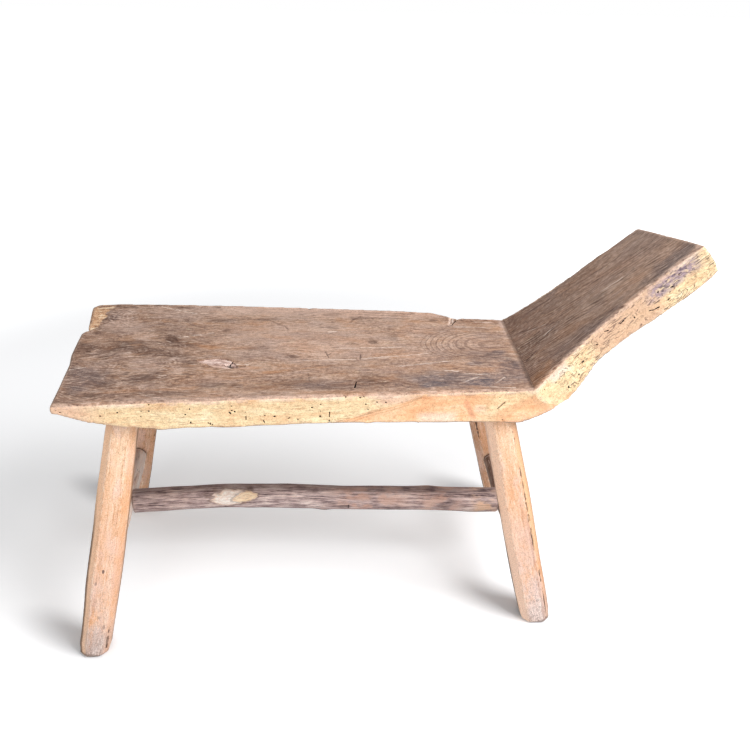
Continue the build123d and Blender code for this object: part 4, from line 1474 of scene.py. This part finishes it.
# the two cross poles' ramps are lit and shaded copies of one wood: painted light and painted shade
stem_tones_with_painted_light = {
    "long_stretcher": ((0.40, (84, 68, 70)), (0.455, (144, 122, 120)), (0.50, (184, 161, 157)),
                       (0.545, (212, 190, 184)), (0.60, (240, 222, 214))),
    "cross_stretcher_left": ((0.38, (206, 174, 158)), (0.47, (252, 230, 216)), (0.54, (255, 242, 232)),
                             (0.64, (255, 248, 240))),
    "cross_stretcher_right": ((0.34, (86, 68, 60)), (0.46, (124, 100, 86)), (0.56, (150, 124, 110)),
                              (0.68, (196, 166, 146))),
}
pole_finishes = {}
for node, stops in stem_tones_with_painted_light.items():
    peeled = pole_finishes[node] = Finish(bpy.data.materials.new("peeled_" + node))
    peeled.fibres, _ = peeled.attribute("wood")
    _, (peeled.along, peeled.side, peeled.up) = peeled.attribute("place")
    _, (peeled.edge, _, peeled.facing_up) = peeled.attribute("wear")
    _, (peeled.gap, _, _) = peeled.attribute("joint")
    peeled.streak = peeled.noise(peeled.fibres, (15, 190, 190), 4, 0.62, 0.4)
    peeled.line = peeled.noise(peeled.fibres, (34, 560, 560), 3, 0.75)
    peeled.blot = peeled.noise(peeled.fibres, (26, 50, 50), 3, 0.6)
    peeled.dust = peeled.noise(peeled.fibres, (700, 900, 900), 2, 0.7)
    peeled.tone = peeled.streak * 0.4 + peeled.line * 0.36 + peeled.blot * 0.24
    peeled.paint = peeled.tone.ramp(*stops)
    for middle, half, strength, shade in rosy_patches if node == "long_stretcher" else ():
        near = abs(peeled.along - middle).rise(0.3 * half, half, 1, 0)
        peeled.paint.coat(near * peeled.blot.rise(0.40, 0.60) * strength, shade)
    peeled.height = peeled.line * 0.9 + peeled.streak * 0.5
    peeled.tell("peeled wood")

# %% [markdown]
# ## The bare patch and the slit
# Where the side shoot was cut off, the long pole is bare: clean wood with a little swirl, a
# browner rim and a dark halo. A short slit crosses its front further along.

# %% bare patch and slit of the long pole
peeled = pole_finishes["long_stretcher"]
# along and up of the middle, half length, half height, colour
bare_patches = ((-0.295, 0.0092, 0.037, 0.0135, (255, 246, 236)),
                (-0.261, 0.0105, 0.021, 0.0085, (255, 232, 198)))
for along_mid, up_mid, half_long, half_high, clean in bare_patches:
    off_along = (peeled.along - along_mid) / half_long
    off_up = (peeled.up - up_mid - (peeled.along - along_mid) * 0.10) / half_high
    away = (off_along ** 2 + off_up ** 2).root()
    away = away + (peeled.blot - 0.5) * 1.7 + (peeled.line - 0.5) * 0.9
    on_front = peeled.side.rise(0.0, -0.006)
    bare = away.rise(1.08, 0.90) * on_front
    swirl = (away * 17).sine()
    wood_paint = peeled.mix(peeled.blot.rise(0.48, 0.60) * 0.3, clean, (255, 214, 166))
    wood_paint.coat(swirl.rise(0.1, 1.0) * 0.30, (214, 150, 106))
    wood_paint.coat(away.rise(0.82, 1.02) * 0.45, (218, 160, 112))
    wood_paint.coat(peeled.line.rise(0.44, 0.34) * 0.4, (190, 140, 112))
    halo = away.band(1.14, 0.06, 0.12) * on_front
    peeled.paint.coat(halo * 0.40, (112, 84, 72))
    peeled.paint.coat(bare * 0.95, wood_paint)
    peeled.height = peeled.height - halo * 0.6 - bare * 0.4

slit_along, slit_up, slit_half = -0.062, -0.006, 0.0035
slit = (peeled.along - slit_along).band(0, 0.0008, 0.0012)
slit = slit * (peeled.up - slit_up).band(0, slit_half, 0.002) * peeled.side.rise(0.0, -0.008)
peeled.paint.coat(slit * 0.9, (38, 28, 34))
peeled.height = peeled.height - slit * 3.0
peeled.tell("bare patch and slit")

# %% [markdown]
# ## Weather on the poles
# Thin dark lines and paler ones run along the fibres, the upper and lower sides are darker as
# painted shade, worn edges paler, and each joint has a pale ring of dust round a black gap of dirt
# and painted shade.

# %% weather on the poles
for node, peeled in pole_finishes.items():
    paint, gap_at, facing_up = peeled.paint, peeled.gap, peeled.facing_up
    thin = peeled.line.rise(0.43, 0.33)
    paint.coat(thin * 0.62, (66, 52, 52))
    # painted shade: the upper and lower sides of each pole are darker
    painted_shade_top_and_bottom = (facing_up.rise(0.80, 0.97) * 0.8).most(facing_up.rise(-0.42, -0.80))
    paint.coat(painted_shade_top_and_bottom * peeled.streak.rise(0.36, 0.54, 0.4, 1.0) * 0.62, (76, 64, 66))
    pale_line = peeled.noise(peeled.fibres, (14, 520, 520), 2, 0.5, shift=(7, 3, 1)).rise(0.60, 0.68)
    paint.coat(pale_line * 0.60, (232, 204, 190))
    paint.coat(peeled.edge.rise(0.3, 1.0) * 0.3, (206, 176, 162))
    # a pale ring of dust, then a black gap of dirt and painted shade
    paint.coat(gap_at.band(0.0034, 0.0005, 0.0012) * 0.45, (226, 212, 204))
    paint.coat(gap_at.rise(0.0024, 0.0012) * 0.85, (44, 34, 34))
    paint.coat(peeled.edge.rise(-0.2, -0.9) * 0.5, (72, 56, 54))
    paint.coat(1.0, peeled.dust.ramp((0.32, (0.80, 0.79, 0.79, 1)), (0.52, (1, 1, 1, 1)),
                                     (0.70, (1, 1, 1, 1))), "MULTIPLY")
    roughness = peeled.tone.rise(0.35, 0.65, 0.78, 0.68)
    bumps = [(peeled.blot, 0.0006), (peeled.height, 0.0007)]
    pole = worn_poles[node]
    pole.data.materials.append(peeled.surface(paint, roughness, bumps))
    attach(pole, "root")
    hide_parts(node)
    peeled.tell("complete")
for piece in (slab, *worn_legs.values(), *worn_poles.values()):
    for face in piece.data.polygons:
        face.use_smooth = True
